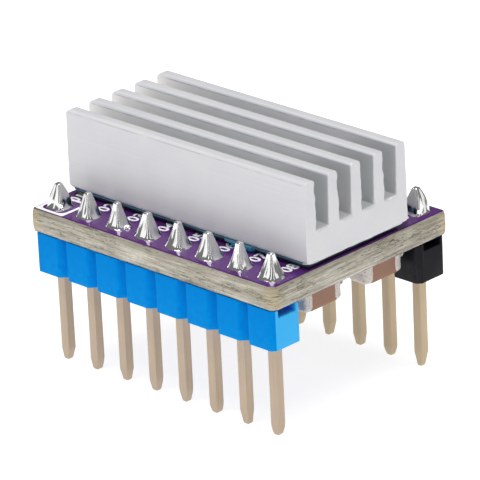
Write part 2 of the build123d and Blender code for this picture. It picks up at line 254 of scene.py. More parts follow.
class DriverModuleSettings(bpy.types.PropertyGroup):
    """All settings of the module."""

    board: PointerProperty(type=BoardSettings)
    header: PointerProperty(type=HeaderSettings)
    solder: PointerProperty(type=SolderSettings)
    heatsink: PointerProperty(type=HeatsinkSettings)
    components: PointerProperty(type=ComponentSettings)
    trimmer: PointerProperty(type=TrimmerSettings)
    stage: PointerProperty(type=StageSettings)


# ---------------------------------------------------------------- outlines and skins


def rounded_outline(corners, radii, steps=5):
    """A closed outline through the corners, each rounded by its own radius."""
    points = []
    for index, corner in enumerate(corners):
        corner = Vector(corner)
        before = (Vector(corners[index - 1]) - corner).normalized()
        after = (Vector(corners[(index + 1) % len(corners)]) - corner).normalized()
        half = before.angle(after) / 2
        middle = corner + (before + after).normalized() * radii[index] / math.sin(half)
        start = corner + before * radii[index] / math.tan(half) - middle
        end = corner + after * radii[index] / math.tan(half) - middle
        turn = math.atan2(start.cross(end), start.dot(end))
        for step in range(steps + 1):
            points.append(middle + Matrix.Rotation(turn * step / steps, 2) @ start)
    return points


def rectangle(low_x, high_x, low_y, high_y, radius, steps=5):
    """A rectangle with rounded corners."""
    corners = [(low_x, low_y), (high_x, low_y), (high_x, high_y), (low_x, high_y)]
    return rounded_outline(corners, [radius] * 4, steps)


def circle(x, y, radius, steps=32):
    """A circle, or with few steps a regular polygon."""
    turns = [math.tau * step / steps for step in range(steps)]
    return [Vector((x + radius * math.cos(turn), y + radius * math.sin(turn))) for turn in turns]


def divided(outline, spacing):
    """The same outline with points added so that none of its runs is longer than the spacing."""
    points = []
    for index, point in enumerate(outline):
        following = outline[(index + 1) % len(outline)]
        pieces = max(1, math.ceil((following - point).length / spacing))
        points += [point.lerp(following, piece / pieces) for piece in range(pieces)]
    return points


def inset(outline, distances):
    """The outline, counter-clockwise, with each point moved inward by its own distance."""
    moved = []
    for index, point in enumerate(outline):
        along = (outline[(index + 1) % len(outline)] - outline[index - 1]).normalized()
        moved.append(point + Vector((-along.y, along.x)) * distances[index])
    return moved


def rounding(distance, radius):
    """How far a rounded edge lies inside its sharp one, at a distance from the end."""
    if distance >= radius:
        return 0.0
    return radius - math.sqrt(max(0.0, radius**2 - (radius - distance) ** 2))


def level(outline, z):
    """The outline as points at one height."""
    return [Vector((point.x, point.y, z)) for point in outline]


def station(outline, x):
    """An outline drawn in Y and Z, as points at one place along X."""
    return [Vector((x, point.x, point.y)) for point in outline]


def add_loop(skin, ring):
    """Add a ring of points to the skin."""
    return [skin.verts.new(point) for point in ring]


def bridge(skin, loops):
    """Join rings of equal length, one after the other."""
    for near, far in zip(loops, loops[1:]):
        for index in range(len(near)):
            beside = (index + 1) % len(near)
            face = skin.faces.new((near[index], near[beside], far[beside], far[index]))
            face.smooth = True


def loft(skin, rings):
    """A closed skin through rings of equal length."""
    loops = [add_loop(skin, ring) for ring in rings]
    bridge(skin, loops)
    skin.faces.new(loops[0])
    skin.faces.new(loops[-1])


def fill(skin, loops):
    """Fill the flat region inside the first loop and outside the others."""
    edges = []
    for loop in loops:
        for index, vertex in enumerate(loop):
            pair = (loop[index - 1], vertex)
            edges.append(skin.edges.get(pair) or skin.edges.new(pair))
    bmesh.ops.triangle_fill(skin, edges=edges, use_beauty=True)


def plate(skin, outline, back, face, edge, recesses=(), steps=3):
    """A flat piece between two heights with rounded rims and recesses in its face.

    Each recess is an outline and a depth. A depth of None is a hole right through.
    """
    toward = 1 if face > back else -1
    turns = [math.pi / 2 * step / steps for step in range(steps + 1)]
    insets = [edge * (1 - math.sin(turn)) for turn in turns]
    heights = [edge * (1 - math.cos(turn)) for turn in turns]
    rings = [level(inset(outline, [i] * len(outline)), back + toward * h) for i, h in zip(insets, heights)]
    rings += [
        level(inset(outline, [i] * len(outline)), face - toward * h)
        for i, h in zip(reversed(insets), reversed(heights))
    ]
    loops = [add_loop(skin, ring) for ring in rings]
    bridge(skin, loops)
    face_loops, back_loops = [loops[-1]], [loops[0]]
    for shape, depth in recesses:
        mouth = add_loop(skin, level(shape, face))
        end = add_loop(skin, level(shape, back if depth is None else face - toward * depth))
        bridge(skin, [mouth, end])
        face_loops.append(mouth)
        if depth is None:
            back_loops.append(end)
        else:
            skin.faces.new(end)
    fill(skin, face_loops)
    fill(skin, back_loops)


def block(skin, low, high, edge, wobble=0.0, frequency=2500.0, steps=3, spacing=0.2 * MM):
    """A box with rounded edges, lofted along Y, its surface uneven by up to the wobble."""
    outline = divided(rectangle(low.x, high.x, low.z, high.z, edge, steps), spacing)
    turns = [math.pi / 2 * step / steps for step in range(steps + 1)]
    ends = [edge * (1 - math.cos(turn)) for turn in turns]
    inner = max(1, round((high.y - low.y - 2 * edge) / spacing))
    places = ends + [edge + (high.y - low.y - 2 * edge) * i / inner for i in range(1, inner)]
    places += [high.y - low.y - place for place in reversed(ends)]
    rings = []
    for place in places:
        depth = rounding(min(place, high.y - low.y - place), edge)
        ring = []
        for point in inset(outline, [depth] * len(outline)):
            spot = Vector((point.x, low.y + place, point.y))
            middle = (low + high) / 2
            pull = wobble * (0.5 + 0.5 * noise.noise(spot * frequency))
            ring.append(spot + (middle - spot).normalized() * pull)
        rings.append(ring)
    loft(skin, rings)


def ribbon_outline(path, width, steps=5):
    """The outline of a line of even width with round ends, along a path of X and Y points."""
    points = [Vector(point) for point in path]
    half = width / 2
    left, right = [], []
    for index, point in enumerate(points):
        before = points[max(index - 1, 0)]
        after = points[min(index + 1, len(points) - 1)]
        first = (point - before).normalized() if index else (after - point).normalized()
        second = (after - point).normalized() if index < len(points) - 1 else first
        along = (first + second).normalized()
        reach = half / max(0.4, along.dot(second))
        across = Vector((-along.y, along.x)) * reach
        left.append(point + across)
        right.append(point - across)
    caps = []
    for end, side in ((points[-1], right[-1]), (points[0], left[0])):
        arm = side - end
        caps.append([end + Matrix.Rotation(math.pi * s / steps, 2) @ arm for s in range(1, steps)])
    return right + caps[0] + left[::-1] + caps[1]


def chamfered(path, cut):
    """A path of square turns, with each turn cut off at 45 degrees."""
    points = [Vector(point) for point in path]
    made = [points[0]]
    for before, corner, after in zip(points, points[1:], points[2:]):
        near = min(cut, (before - corner).length / 2, (after - corner).length / 2)
        made.append(corner + (before - corner).normalized() * near)
        made.append(corner + (after - corner).normalized() * near)
    return made + [points[-1]]


def raised(skin, outline, low_z, high_z):
    """A thin raised shape of one outline, such as a track or a stroke of ink."""
    loft(skin, [level(outline, low_z), level(outline, high_z)])


def show(skin, name, finishes, node, stands_for=True, sharp=32):
    """Turn a skin into a piece that rides where the node does, and that by default stands for it."""
    bmesh.ops.recalc_face_normals(skin, faces=skin.faces)
    mesh = bpy.data.meshes.new(name)
    skin.to_mesh(mesh)
    skin.free()
    for finish in finishes:
        mesh.materials.append(finish)
    mesh.set_sharp_from_angle(angle=math.radians(sharp))
    piece = bpy.data.objects.new(name, mesh)
    bpy.context.scene.collection.objects.link(piece)
    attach(piece, body_of[node])
    if stands_for:
        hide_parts(node)
    return piece


def refinish(node, finish):
    """Give a CAD node that is shown as it is a better finish."""
    shown = frame["nodes"][node]
    shown.data.materials.clear()
    shown.data.materials.append(finish)


# ---------------------------------------------------------------- shader building


def add_node(tree, kind, inputs=(), **attributes):
    """Add a node. Inputs are pairs of a socket's name or number and a value or another socket."""
    node = tree.nodes.new(kind)
    for name, value in attributes.items():
        setattr(node, name, value)
    for key, value in dict(inputs).items():
        if isinstance(value, bpy.types.NodeSocket):
            tree.links.new(value, node.inputs[key])
        else:
            node.inputs[key].default_value = value
    return node


def new_group(name, inputs, outputs):
    """An empty shader node group with its sockets, and its two end nodes."""
    tree = bpy.data.node_groups.new(name, "ShaderNodeTree")
    for label, kind, default in inputs:
        socket = tree.interface.new_socket(name=label, in_out="INPUT", socket_type=kind)
        socket.default_value = default
    for label, kind in outputs:
        tree.interface.new_socket(name=label, in_out="OUTPUT", socket_type=kind)
    return tree, tree.nodes.new("NodeGroupInput"), tree.nodes.new("NodeGroupOutput")


def make_grain_group():
    """Cloudy variation from 0 to 1, with its own frequency along each axis."""
    tree, given, out = new_group(
        "Grain",
        [
            ("Frequency", "NodeSocketVector", (1000.0, 1000.0, 1000.0)),
            ("Detail", "NodeSocketFloat", 4.0),
            ("Contrast", "NodeSocketFloat", 1.0),
        ],
        [("Value", "NodeSocketFloat")],
    )
    place = add_node(tree, "ShaderNodeTexCoord").outputs["Object"]
    stretched = {0: place, 1: given.outputs["Frequency"]}
    scaled = add_node(tree, "ShaderNodeVectorMath", stretched, operation="MULTIPLY").outputs[0]
    look = {"Vector": scaled, "Scale": 1.0, "Detail": given.outputs["Detail"]}
    cloud = add_node(tree, "ShaderNodeTexNoise", look).outputs["Fac"]
    centred = math_node(tree, "SUBTRACT", cloud, 0.5)
    spread = times(tree, centred, given.outputs["Contrast"])
    tree.links.new(math_node(tree, "ADD", spread, 0.5, clamp=True), out.inputs["Value"])
    return tree


def make_wear_and_highlight_group(cloud):
    """A mask of rubbed outer edges, broken up by fine grain, for painting them lighter as wear and an edge
    highlight.
    """
    tree, given, out = new_group(
        "Edge Wear And Highlight",
        [("Start", "NodeSocketFloat", 0.52), ("Full", "NodeSocketFloat", 0.62)],
        [("Mask", "NodeSocketFloat")],
    )
    edge = add_node(tree, "ShaderNodeNewGeometry").outputs["Pointiness"]
    ramp = band(tree, edge, given.outputs["Start"], given.outputs["Full"])
    broken = add_node(
        tree, "ShaderNodeGroup", {"Frequency": (3000.0,) * 3, "Contrast": 2.5}, node_tree=cloud
    )
    mask = math_node(tree, "MULTIPLY", ramp, broken.outputs["Value"], clamp=True)
    tree.links.new(mask, out.inputs["Mask"])


def make_speck_group():
    """A mask of small scattered specks, as of dust or pits."""
    tree, given, out = new_group(
        "Specks",
        [("Frequency", "NodeSocketFloat", 2500.0), ("Size", "NodeSocketFloat", 0.2)],
        [("Mask", "NodeSocketFloat")],
    )
    place = add_node(tree, "ShaderNodeTexCoord").outputs["Object"]
    scattered = {"Vector": place, "Scale": given.outputs["Frequency"]}
    cells = add_node(tree, "ShaderNodeTexVoronoi", scattered)
    near = band(tree, cells.outputs["Distance"], given.outputs["Size"], 0.0)
    chosen = add_node(tree, "ShaderNodeSeparateColor", {"Color": cells.outputs["Color"]}).outputs[0]
    few = math_node(tree, "GREATER_THAN", chosen, 0.7)
    tree.links.new(math_node(tree, "MULTIPLY", near, few, clamp=True), out.inputs["Mask"])


def make_split_group(cloud):
    """A mask of fine wandering lines, with its own frequency along each axis."""
    tree, given, out = new_group(
        "Splits",
        [("Frequency", "NodeSocketVector", (1000.0, 1000.0, 1000.0)), ("Width", "NodeSocketFloat", 0.03)],
        [("Mask", "NodeSocketFloat")],
    )
    wander = add_node(
        tree, "ShaderNodeGroup", {"Frequency": given.outputs["Frequency"]}, node_tree=cloud
    )
    far = math_node(tree, "ABSOLUTE", math_node(tree, "SUBTRACT", wander.outputs["Value"], 0.5))
    tree.links.new(band(tree, far, given.outputs["Width"], 0.0), out.inputs["Mask"])


def effect(tree, name, **values):
    """Place a shared group in a material with its own values, and return its output."""
    node = add_node(tree, "ShaderNodeGroup", node_tree=bpy.data.node_groups[name])
    for key, value in values.items():
        node.inputs[key].default_value = value
    return node.outputs[0]


def noise_grain(tree, frequency, contrast, detail=4.0):
    """The shared grain, of one frequency or of one for each axis."""
    along = (frequency,) * 3 if isinstance(frequency, float) else frequency
    return effect(tree, "Grain", Frequency=along, Detail=detail, Contrast=contrast)


def mixed(tree, factor, first, second):
    """A colour between two colours or colour sockets, by a factor socket."""
    node = add_node(tree, "ShaderNodeMix", {0: factor, 6: first, 7: second}, data_type="RGBA")
    return node.outputs[2]


def band(tree, value, start, full, low=0.0, high=1.0):
    """A ramp from low, where the value is at start, to high, where it is at full."""
    limits = {"Value": value, "From Min": start, "From Max": full, "To Min": low, "To Max": high}
    return add_node(tree, "ShaderNodeMapRange", limits).outputs[0]


def ranged(tree, value, low, high):
    """A value from 0 to 1 spread from low to high."""
    return band(tree, value, 0.0, 1.0, low, high)


def math_node(tree, operation, first, second=0.0, clamp=False):
    """One step of arithmetic."""
    node = add_node(tree, "ShaderNodeMath", {0: first, 1: second}, operation=operation, use_clamp=clamp)
    return node.outputs[0]


def times(tree, first, *others):
    """The product of values."""
    for other in others:
        first = math_node(tree, "MULTIPLY", first, other)
    return first


def shading_place(tree, middle=None):
    """The X, Y and Z of the shaded place: as they are, or as distances from a middle."""
    place = add_node(tree, "ShaderNodeTexCoord").outputs["Object"]
    if middle is not None:
        apart = {0: place, 1: tuple(middle)}
        place = add_node(tree, "ShaderNodeVectorMath", apart, operation="SUBTRACT").outputs[0]
        place = add_node(tree, "ShaderNodeVectorMath", {0: place}, operation="ABSOLUTE").outputs[0]
    parts = add_node(tree, "ShaderNodeSeparateXYZ", {"Vector": place}).outputs
    return parts["X"], parts["Y"], parts["Z"]


def shaded(base, share):
    """The colour made darker, or lighter where the share is over 1."""
    return [min(1.0, channel * share) for channel in base[:3]] + [1.0]


def new_finish(name, metallic=0.0, **uniform):
    """A material, its tree and its shader, with the uniform values set on the shader's own sockets."""
    finish = bpy.data.materials.new(name)
    finish.use_nodes = True
    shader = finish.node_tree.nodes["Principled BSDF"]
    shader.inputs["Metallic"].default_value = metallic
    for key, value in uniform.items():
        shader.inputs[key.replace("_", " ").title().replace("Ior", "IOR")].default_value = value
    return finish, finish.node_tree, shader


def roughen(tree, shader, height, distance, strength=1.0):
    """Bump the shader's surface by a height from 0 to 1 of that distance."""
    bump = add_node(
        tree, "ShaderNodeBump", {"Height": height, "Distance": distance, "Strength": strength}
    )
    tree.links.new(bump.outputs[0], shader.inputs["Normal"])


# ---------------------------------------------------------------- finishes


def satin_aluminium(sink):
    """Clear anodised extrusion: fine lines along X, cloudy stains, and rubbed edges painted lighter as wear
    and an edge highlight.

    The slots' walls are painted light, lightest near the tumbled end and darker with painted shade near the
    sawn end, and a thin broken line of painted shade, blue in the slots, runs under the top edge of every
    fin.
    """
    finish, tree, shader = new_finish("Satin aluminium", metallic=0.15)
    base = sink.metal_color
    lines = noise_grain(tree, (70.0, 9000.0, 9000.0), 2.2)
    stains = noise_grain(tree, 450.0, 1.8, 5.0)
    cooler = [channel * share for channel, share in zip(base, (0.90, 0.92, 0.97, 1.0))]
    tone = mixed(tree, stains, mixed(tree, lines, cooler, base), shaded(base, 1.02))

    low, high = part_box("heatsink")
    half = (high - low) / 2
    x, _, z = shading_place(tree)
    along, across, _ = shading_place(tree, (low + high) / 2)
    # Rubbed edges are painted lighter: wear, and a painted edge highlight.
    wear_and_highlight = effect(tree, "Edge Wear And Highlight", Start=0.515, Full=0.60)
    off_the_ends = band(tree, along, half.x - 0.004 * MM, half.x - 0.001 * MM, 1.0, 0.0)
    rubbed_and_highlit = mixed(tree, times(tree, wear_and_highlight, off_the_ends), tone, sink.rubbed_and_highlit_color)

    inner = half.y - 0.5 * sink.fin_top
    outside = inner + 0.02 * MM
    slot_floor = low.z + sink.base
    in_slots = times(
        tree,
        band(tree, across, inner, outside, 1.0, 0.0),
        band(tree, along, half.x - 0.12 * MM, half.x - 0.05 * MM, 1.0, 0.0),
        band(tree, z, slot_floor - 0.05 * MM, slot_floor),
        band(tree, z, high.z - 0.16 * MM, high.z - 0.08 * MM, 1.0, 0.0),
    )
    # Painted light in the slots, lightest near the tumbled end; painted shade near the sawn end.
    tumbled = band(tree, x, low.x, low.x + 6.0 * MM, 1.0, 0.0)
    sawn = band(tree, x, high.x - 4.0 * MM, high.x - 0.5 * MM)
    slot_painted_light_and_shade = mixed(tree, sawn, sink.slot_painted_color, sink.sawn_slot_painted_color)
    with_painted_slot_light = mixed(tree, in_slots, rubbed_and_highlit, mixed(tree, tumbled, slot_painted_light_and_shade, sink.tumbled_slot_painted_color))

    # A thin broken line of painted shade under every fin's top edge, bluish inside the slots.
    line = times(
        tree,
        band(tree, z, high.z - 0.25 * MM, high.z - 0.21 * MM),
        band(tree, z, high.z - 0.17 * MM, high.z - 0.13 * MM, 1.0, 0.0),
        band(tree, along, half.x - 0.5 * MM, half.x - 0.15 * MM, 1.0, 0.0),
        band(tree, noise_grain(tree, (900.0, 14000.0, 14000.0), 3.0), 0.25, 0.65, 0.15, 0.9),
    )
    drawn = mixed(tree, band(tree, across, inner, outside), sink.line_color, sink.side_shade_line_color)
    tree.links.new(mixed(tree, line, with_painted_slot_light, drawn), shader.inputs["Base Color"])
    tree.links.new(ranged(tree, lines, 0.40, 0.52), shader.inputs["Roughness"])
    roughen(tree, shader, lines, 0.004 * MM, 0.6)
    return finish


def solder_mask(name, base):
    """Glossy mask with a slight orange peel and a few specks of dust."""
    finish, tree, shader = new_finish(name)
    cloud = noise_grain(tree, 900.0, 1.5)
    peel = noise_grain(tree, 3500.0, 1.0, 2.0)
    dust = effect(tree, "Specks", Frequency=1900.0, Size=0.10)
    tone = mixed(tree, cloud, shaded(base, 0.82), shaded(base, 1.15))
    tree.links.new(mixed(tree, dust, tone, (0.45, 0.38, 0.50, 1.0)), shader.inputs["Base Color"])
    tree.links.new(ranged(tree, cloud, 0.07, 0.15), shader.inputs["Roughness"])
    roughen(tree, shader, peel, 0.005 * MM, 0.5)
    return finish


def cut_laminate(resin, fibre, stain):
    """Cut glass-fibre laminate: torn fibre layers, fine dark splits, a painted shade along the upper rim,
    stained corners.
    """
    finish, tree, shader = new_finish("Cut laminate", specular_ior_level=0.3)
    layers = noise_grain(tree, (420.0, 420.0, 8000.0), 3.0, 6.0)
    patches = noise_grain(tree, (220.0, 220.0, 900.0), 3.0, 5.0)
    splits = effect(tree, "Splits", Frequency=(600.0, 600.0, 6000.0), Width=0.03)
    fine = effect(tree, "Splits", Frequency=(2000.0, 2000.0, 9500.0), Width=0.035)
    fibres = mixed(tree, layers, shaded(resin, 0.60), shaded(resin, 1.18))
    weathered = mixed(tree, patches, fibres, mixed(tree, layers, fibre, shaded(resin, 0.8)))
    grey = mixed(tree, ranged(tree, fine, 0.0, 0.5), weathered, shaded(fibre, 0.8))
    across_x, across_y, _ = shading_place(tree, (board_low + board_high) / 2)
    _, _, z = shading_place(tree)
    reach = math_node(tree, "ADD", across_x, across_y)
    tip = board_high.x + board_high.y
    corner = band(tree, reach, tip - 1.05 * MM, tip - 0.05 * MM, 0.0, 0.75)
    # Painted shade: the cut edge is darkened towards its upper rim, under the mask.
    rim = band(tree, z, board_high.z - 0.5 * MM, board_high.z - 0.05 * MM, 0.0, 0.6)
    stained_and_rim_shaded = mixed(tree, rim, mixed(tree, corner, grey, stain), shaded(fibre, 0.8))
    cracked = mixed(tree, times(tree, splits, patches), stained_and_rim_shaded, shaded(fibre, 0.2))
    tree.links.new(cracked, shader.inputs["Base Color"])
    tree.links.new(ranged(tree, patches, 0.5, 0.8), shader.inputs["Roughness"])
    roughen(tree, shader, layers, 0.05 * MM, 0.8)
    return finish


def legend_ink(base):
    """Printed ink with slightly thin, worn places."""
    finish, tree, shader = new_finish("Legend ink", specular_ior_level=0.3)
    thin = noise_grain(tree, 5200.0, 2.4)
    tree.links.new(mixed(tree, thin, shaded(base, 0.72), base), shader.inputs["Base Color"])
    tree.links.new(ranged(tree, thin, 0.55, 0.75), shader.inputs["Roughness"])
    roughen(tree, shader, thin, 0.006 * MM, 0.5)
    return finish


def bright_metal(name, base, smooth, rough, frequency, distance, strength=0.5):
    """Polished or plated metal with cloudy gloss and a fine uneven surface."""
    finish, tree, shader = new_finish(name, metallic=1.0)
    cloud = noise_grain(tree, frequency, 1.6, 5.0)
    fine = noise_grain(tree, frequency * 3, 1.2, 3.0)
    tree.links.new(mixed(tree, cloud, shaded(base, 0.86), base), shader.inputs["Base Color"])
    tree.links.new(ranged(tree, fine, smooth, rough), shader.inputs["Roughness"])
    roughen(tree, shader, fine, distance, strength)
    return finish


def drawn_plating(name, base):
    """Plated drawn wire: faint lines along Z and a soft sheen."""
    finish, tree, shader = new_finish(name, metallic=0.45)
    lines = noise_grain(tree, (9000.0, 9000.0, 160.0), 1.8)
    cloud = noise_grain(tree, 700.0, 1.6)
    tone = mixed(tree, cloud, shaded(base, 0.88), shaded(base, 1.04))
    tree.links.new(mixed(tree, lines, shaded(base, 0.80), tone), shader.inputs["Base Color"])
    tree.links.new(ranged(tree, lines, 0.30, 0.46), shader.inputs["Roughness"])
    roughen(tree, shader, lines, 0.005 * MM, 0.5)
    return finish


def moulded_plastic(name, base, rough, edge_wear_and_highlight, gloss, depth=0.0):
    """Moulded plastic with a fine grain, faint clouding, specks and lighter rubbed edges that are partly a
    painted edge highlight.

    The depth is how far light soaks into it, which shows in thin walls.
    """
    finish, tree, shader = new_finish(name, specular_ior_level=gloss)
    if depth:
        shader.inputs["Subsurface Weight"].default_value = 1.0
        shader.inputs["Subsurface Radius"].default_value = (0.2, 0.7, 1.0)
        shader.inputs["Subsurface Scale"].default_value = depth
    cloud = noise_grain(tree, 500.0, 1.5)
    grain = noise_grain(tree, 9000.0, 1.4, 3.0)
    wear_and_highlight = effect(tree, "Edge Wear And Highlight", Start=0.53, Full=0.66)
    dust = effect(tree, "Specks", Frequency=1500.0, Size=0.07)
    tone = mixed(tree, cloud, shaded(base, 0.985), shaded(base, 1.01))
    # Convex edges painted lighter: wear, and a painted edge highlight.
    worn_and_highlit = mixed(tree, wear_and_highlight, tone, edge_wear_and_highlight)
    tree.links.new(mixed(tree, dust, worn_and_highlit, edge_wear_and_highlight), shader.inputs["Base Color"])
    tree.links.new(ranged(tree, grain, rough - 0.05, rough + 0.07), shader.inputs["Roughness"])
    roughen(tree, shader, grain, 0.003 * MM, 0.5)
    return finish


def soft_tape(name, base):
    """Soft thermal film with a faint sheen."""
    finish, tree, shader = new_finish(name, sheen_weight=0.2)
    cloud = noise_grain(tree, 1500.0, 1.8)
    tree.links.new(mixed(tree, cloud, shaded(base, 0.8), shaded(base, 1.25)), shader.inputs["Base Color"])
    tree.links.new(ranged(tree, cloud, 0.35, 0.5), shader.inputs["Roughness"])
    roughen(tree, shader, cloud, 0.02 * MM, 0.5)
    return finish


def fired_ceramic(name, base, rough, speck):
    """Fired ceramic: matte, finely mottled, with small pits."""
    finish, tree, shader = new_finish(name)
    cloud = noise_grain(tree, 1100.0, 1.6, 5.0)
    grain = noise_grain(tree, 12000.0, 2.0)
    pits = effect(tree, "Specks", Frequency=3600.0, Size=0.12)
    tone = mixed(tree, cloud, shaded(base, 0.88), shaded(base, 1.08))
    mottled = mixed(tree, grain, shaded(base, 0.9), tone)
    tree.links.new(mixed(tree, pits, mottled, speck), shader.inputs["Base Color"])
    tree.links.new(ranged(tree, grain, rough - 0.06, rough + 0.08), shader.inputs["Roughness"])
    roughen(tree, shader, grain, 0.006 * MM, 0.6)
    return finish


def granular_tin(base):
    """Fired and plated end caps: a pale coarse grain with sparse dark pits."""
    finish, tree, shader = new_finish("Granular tin", metallic=0.1)
    grain = noise_grain(tree, 9000.0, 3.0)
    cloud = noise_grain(tree, 2200.0, 1.8)
    pits = effect(tree, "Specks", Frequency=7000.0, Size=0.42)
    tone = mixed(tree, cloud, shaded(base, 0.84), base)
    mottled = mixed(tree, grain, shaded(base, 0.72), tone)
    tree.links.new(mixed(tree, pits, mottled, shaded(base, 0.22)), shader.inputs["Base Color"])
    tree.links.new(ranged(tree, grain, 0.55, 0.38), shader.inputs["Roughness"])
    roughen(tree, shader, grain, 0.015 * MM, 0.8)
    return finish


def make_finishes(settings):
    """Build the shared groups once and every finish of the module."""
    cloud = make_grain_group()
    make_wear_and_highlight_group(cloud)
    make_split_group(cloud)
    make_speck_group()
    board, header = settings.board, settings.header
    parts, sink = settings.components, settings.heatsink
    return {
        "mask": solder_mask("Solder mask", board.mask_color),
        "tracks": solder_mask("Mask over copper", board.track_color),
        "laminate": cut_laminate(board.laminate_color, board.fibre_color, board.stain_color),
        "legend": legend_ink(board.legend_color),
        "solder": bright_metal(
            "Bright solder", settings.solder.metal_color, 0.07, 0.15, 900.0, 0.003 * MM
        ),
        "logic_plating": drawn_plating("Logic pin plating", header.logic_plating),
        "power_plating": drawn_plating("Power pin plating", header.power_plating),
        # Each plastic's fourth value is its lighter edge colour: wear and a painted edge highlight.
        "logic_plastic": moulded_plastic(
            "Blue header plastic", header.logic_color, 0.45, (0.0, 0.32, 0.80, 1.0), 0.02
        ),
        "power_plastic": moulded_plastic(
            "Black header plastic", header.power_color, 0.32, (0.02, 0.02, 0.025, 1.0), 0.14
        ),
        # The ends' finishes are lighter copies of the plastics, as painted light.
        "logic_cut": moulded_plastic("Blue end plastic in painted light", header.logic_cut, 0.5, header.logic_cut, 0.02),
        "power_cut": moulded_plastic("Black end plastic in painted light", header.power_cut, 0.45, header.power_cut, 0.1),
        # The groove's finishes use the lighter end colours: painted light in the groove's shade; the blue
        # one also lets light soak in.
        "logic_groove": moulded_plastic(
            "Thin blue groove plastic in painted light", header.logic_cut, 0.5, header.logic_cut, 0.02, depth=0.9 * MM
        ),
        "power_groove": moulded_plastic(
            "Black groove plastic in painted light", header.power_cut, 0.45, header.power_cut, 0.1
        ),
        "aluminium": satin_aluminium(sink),
        "tape": soft_tape("Thermal tape", sink.tape_color),
        "tape_painted_shade": soft_tape("Tape in painted shade", sink.painted_shade_color),
        "tape_lip": soft_tape("Tape lip", sink.lip_color),
        "adhesive": soft_tape("Pale adhesive", sink.adhesive_color),
        "epoxy": fired_ceramic("Chip epoxy", parts.epoxy_color, 0.55, (0.05, 0.05, 0.05, 1.0)),
        "tin": bright_metal("Tinned copper", parts.tin_color, 0.18, 0.34, 2600.0, 0.01 * MM),
        "capacitor": fired_ceramic(
            "Capacitor ceramic", parts.capacitor_color, 0.50, (0.20, 0.09, 0.06, 1.0)
        ),
        "end_cap": granular_tin(parts.end_cap_color),
        "glaze": fired_ceramic("Resistor glaze", parts.glaze_color, 0.22, (0.03, 0.03, 0.03, 1.0)),
        "trimmer": fired_ceramic(
            "Trimmer ceramic", parts.trimmer_color, 0.45, (0.45, 0.42, 0.36, 1.0)
        ),
        "rotor": bright_metal("Rotor steel", parts.rotor_color, 0.24, 0.42, 2200.0, 0.01 * MM),
        "brass": bright_metal("Wiper brass", parts.brass_color, 0.2, 0.35, 2200.0, 0.006 * MM),
        "film": fired_ceramic("Resistive film", parts.film_color, 0.6, (0.05, 0.05, 0.05, 1.0)),
    }


finishes = {}  # filled by the first operator, for all the others


# ---------------------------------------------------------------- circuit board


def pin_places():
    """Each pin's row, number and middle."""
    for row in ROWS:
        for number in PIN_NUMBERS:
            low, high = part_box(f"{row}_pin_{number}")
            yield row, number, (low + high) / 2


# Each row's tracks: their width, how far out the innermost turns, and how much sooner each next one does.
TRACKS = {"logic": (0.26 * MM, 4.45 * MM, 0.42 * MM), "power": (0.5 * MM, 4.3 * MM, 0.45 * MM)}
TRACK_START = 5.3 * MM
TRACK_CORNER = 0.25 * MM
LAND_PITCH = 0.5 * MM
VIA_BORE, VIA_RADIUS, TEST_RING = 0.13 * MM, 0.28 * MM, 0.16 * MM
VIAS = [(-3.9, -1.4), (-3.9, 0.2), (-3.9, 1.6), (2.9, -1.5), (2.9, 0.1), (2.9, 1.5), (3.6, 0.8), (7.0, 0.3)]


def make_circuit_board(settings):
    """The laminate with its slightly convex, torn edges, masked faces and plated holes."""
    board = settings.board
    low, high = board_low, board_high
    corners = [(low.x, low.y), (high.x, low.y), (high.x, high.y), (low.x, high.y)]
    radii = [board.tight_corner, board.corner, board.tight_corner, board.corner]
    outline = divided(rounded_outline(corners, radii, 8), 0.25 * MM)
    thickness = high.z - low.z
    mask_rim = board.lip * 0.4
    heights = [0.0, board.lip * 0.2, mask_rim, thickness * 0.16, thickness * 0.28, thickness * 0.5]
    bulges = [board.lip, board.lip * 0.8, board.lip * 0.55, board.lip * 0.25, board.lip * 0.08, 0.0]
    heights += [thickness - height for height in reversed(heights[:-1])]
    bulges += reversed(bulges[:-1])
    skin = bmesh.new()
    rings = []
    for height, bulge in zip(heights, bulges):
        spots = level(outline, low.z + height)
        torn = 0.0 if height in (0.0, thickness) else 0.035 * MM
        depths = [bulge + torn * abs(noise.noise(spot * 2200.0)) for spot in spots]
        rings.append(level(inset(outline, depths), low.z + height))
    loops = [add_loop(skin, ring) for ring in rings]
    bridge(skin, loops)
    for face in skin.faces:
        height = face.calc_center_median().z - low.z
        face.material_index = 1 if mask_rim * 0.9 < height < thickness - mask_rim * 0.9 else 0
    holes = [(middle.x, middle.y, board.hole) for _, _, middle in pin_places()]
    holes.append((*TEST_HOLE, board.test_hole))
    under, over = [loops[0]], [loops[-1]]
    for x, y, radius in holes:
        lower = add_loop(skin, level(circle(x, y, radius), low.z))
        upper = add_loop(skin, level(circle(x, y, radius), high.z))
        bridge(skin, [lower, upper])
        under.append(lower)
        over.append(upper)
    skin.faces.ensure_lookup_table()
    for face in skin.faces[-len(holes) * len(lower):]:
        face.material_index = 2
    fill(skin, under)
    fill(skin, over)
    used = [finishes["mask"], finishes["laminate"], finishes["tin"]]
    show(skin, "masked_circuit_board", used, "circuit_board")


def flat_ring(skin, x, y, inner, outer, low_z, high_z):
    """A flat ring, such as the copper round a hole."""
    for z in (low_z, high_z):
        loops = [add_loop(skin, level(circle(x, y, radius), z)) for radius in (outer, inner)]
        bridge(skin, loops)
    skin.verts.ensure_lookup_table()
    count = len(circle(x, y, outer))
    made = skin.verts[-4 * count:]
    for start in (0, count):
        bridge(skin, [made[start:start + count], made[2 * count + start:3 * count + start]])


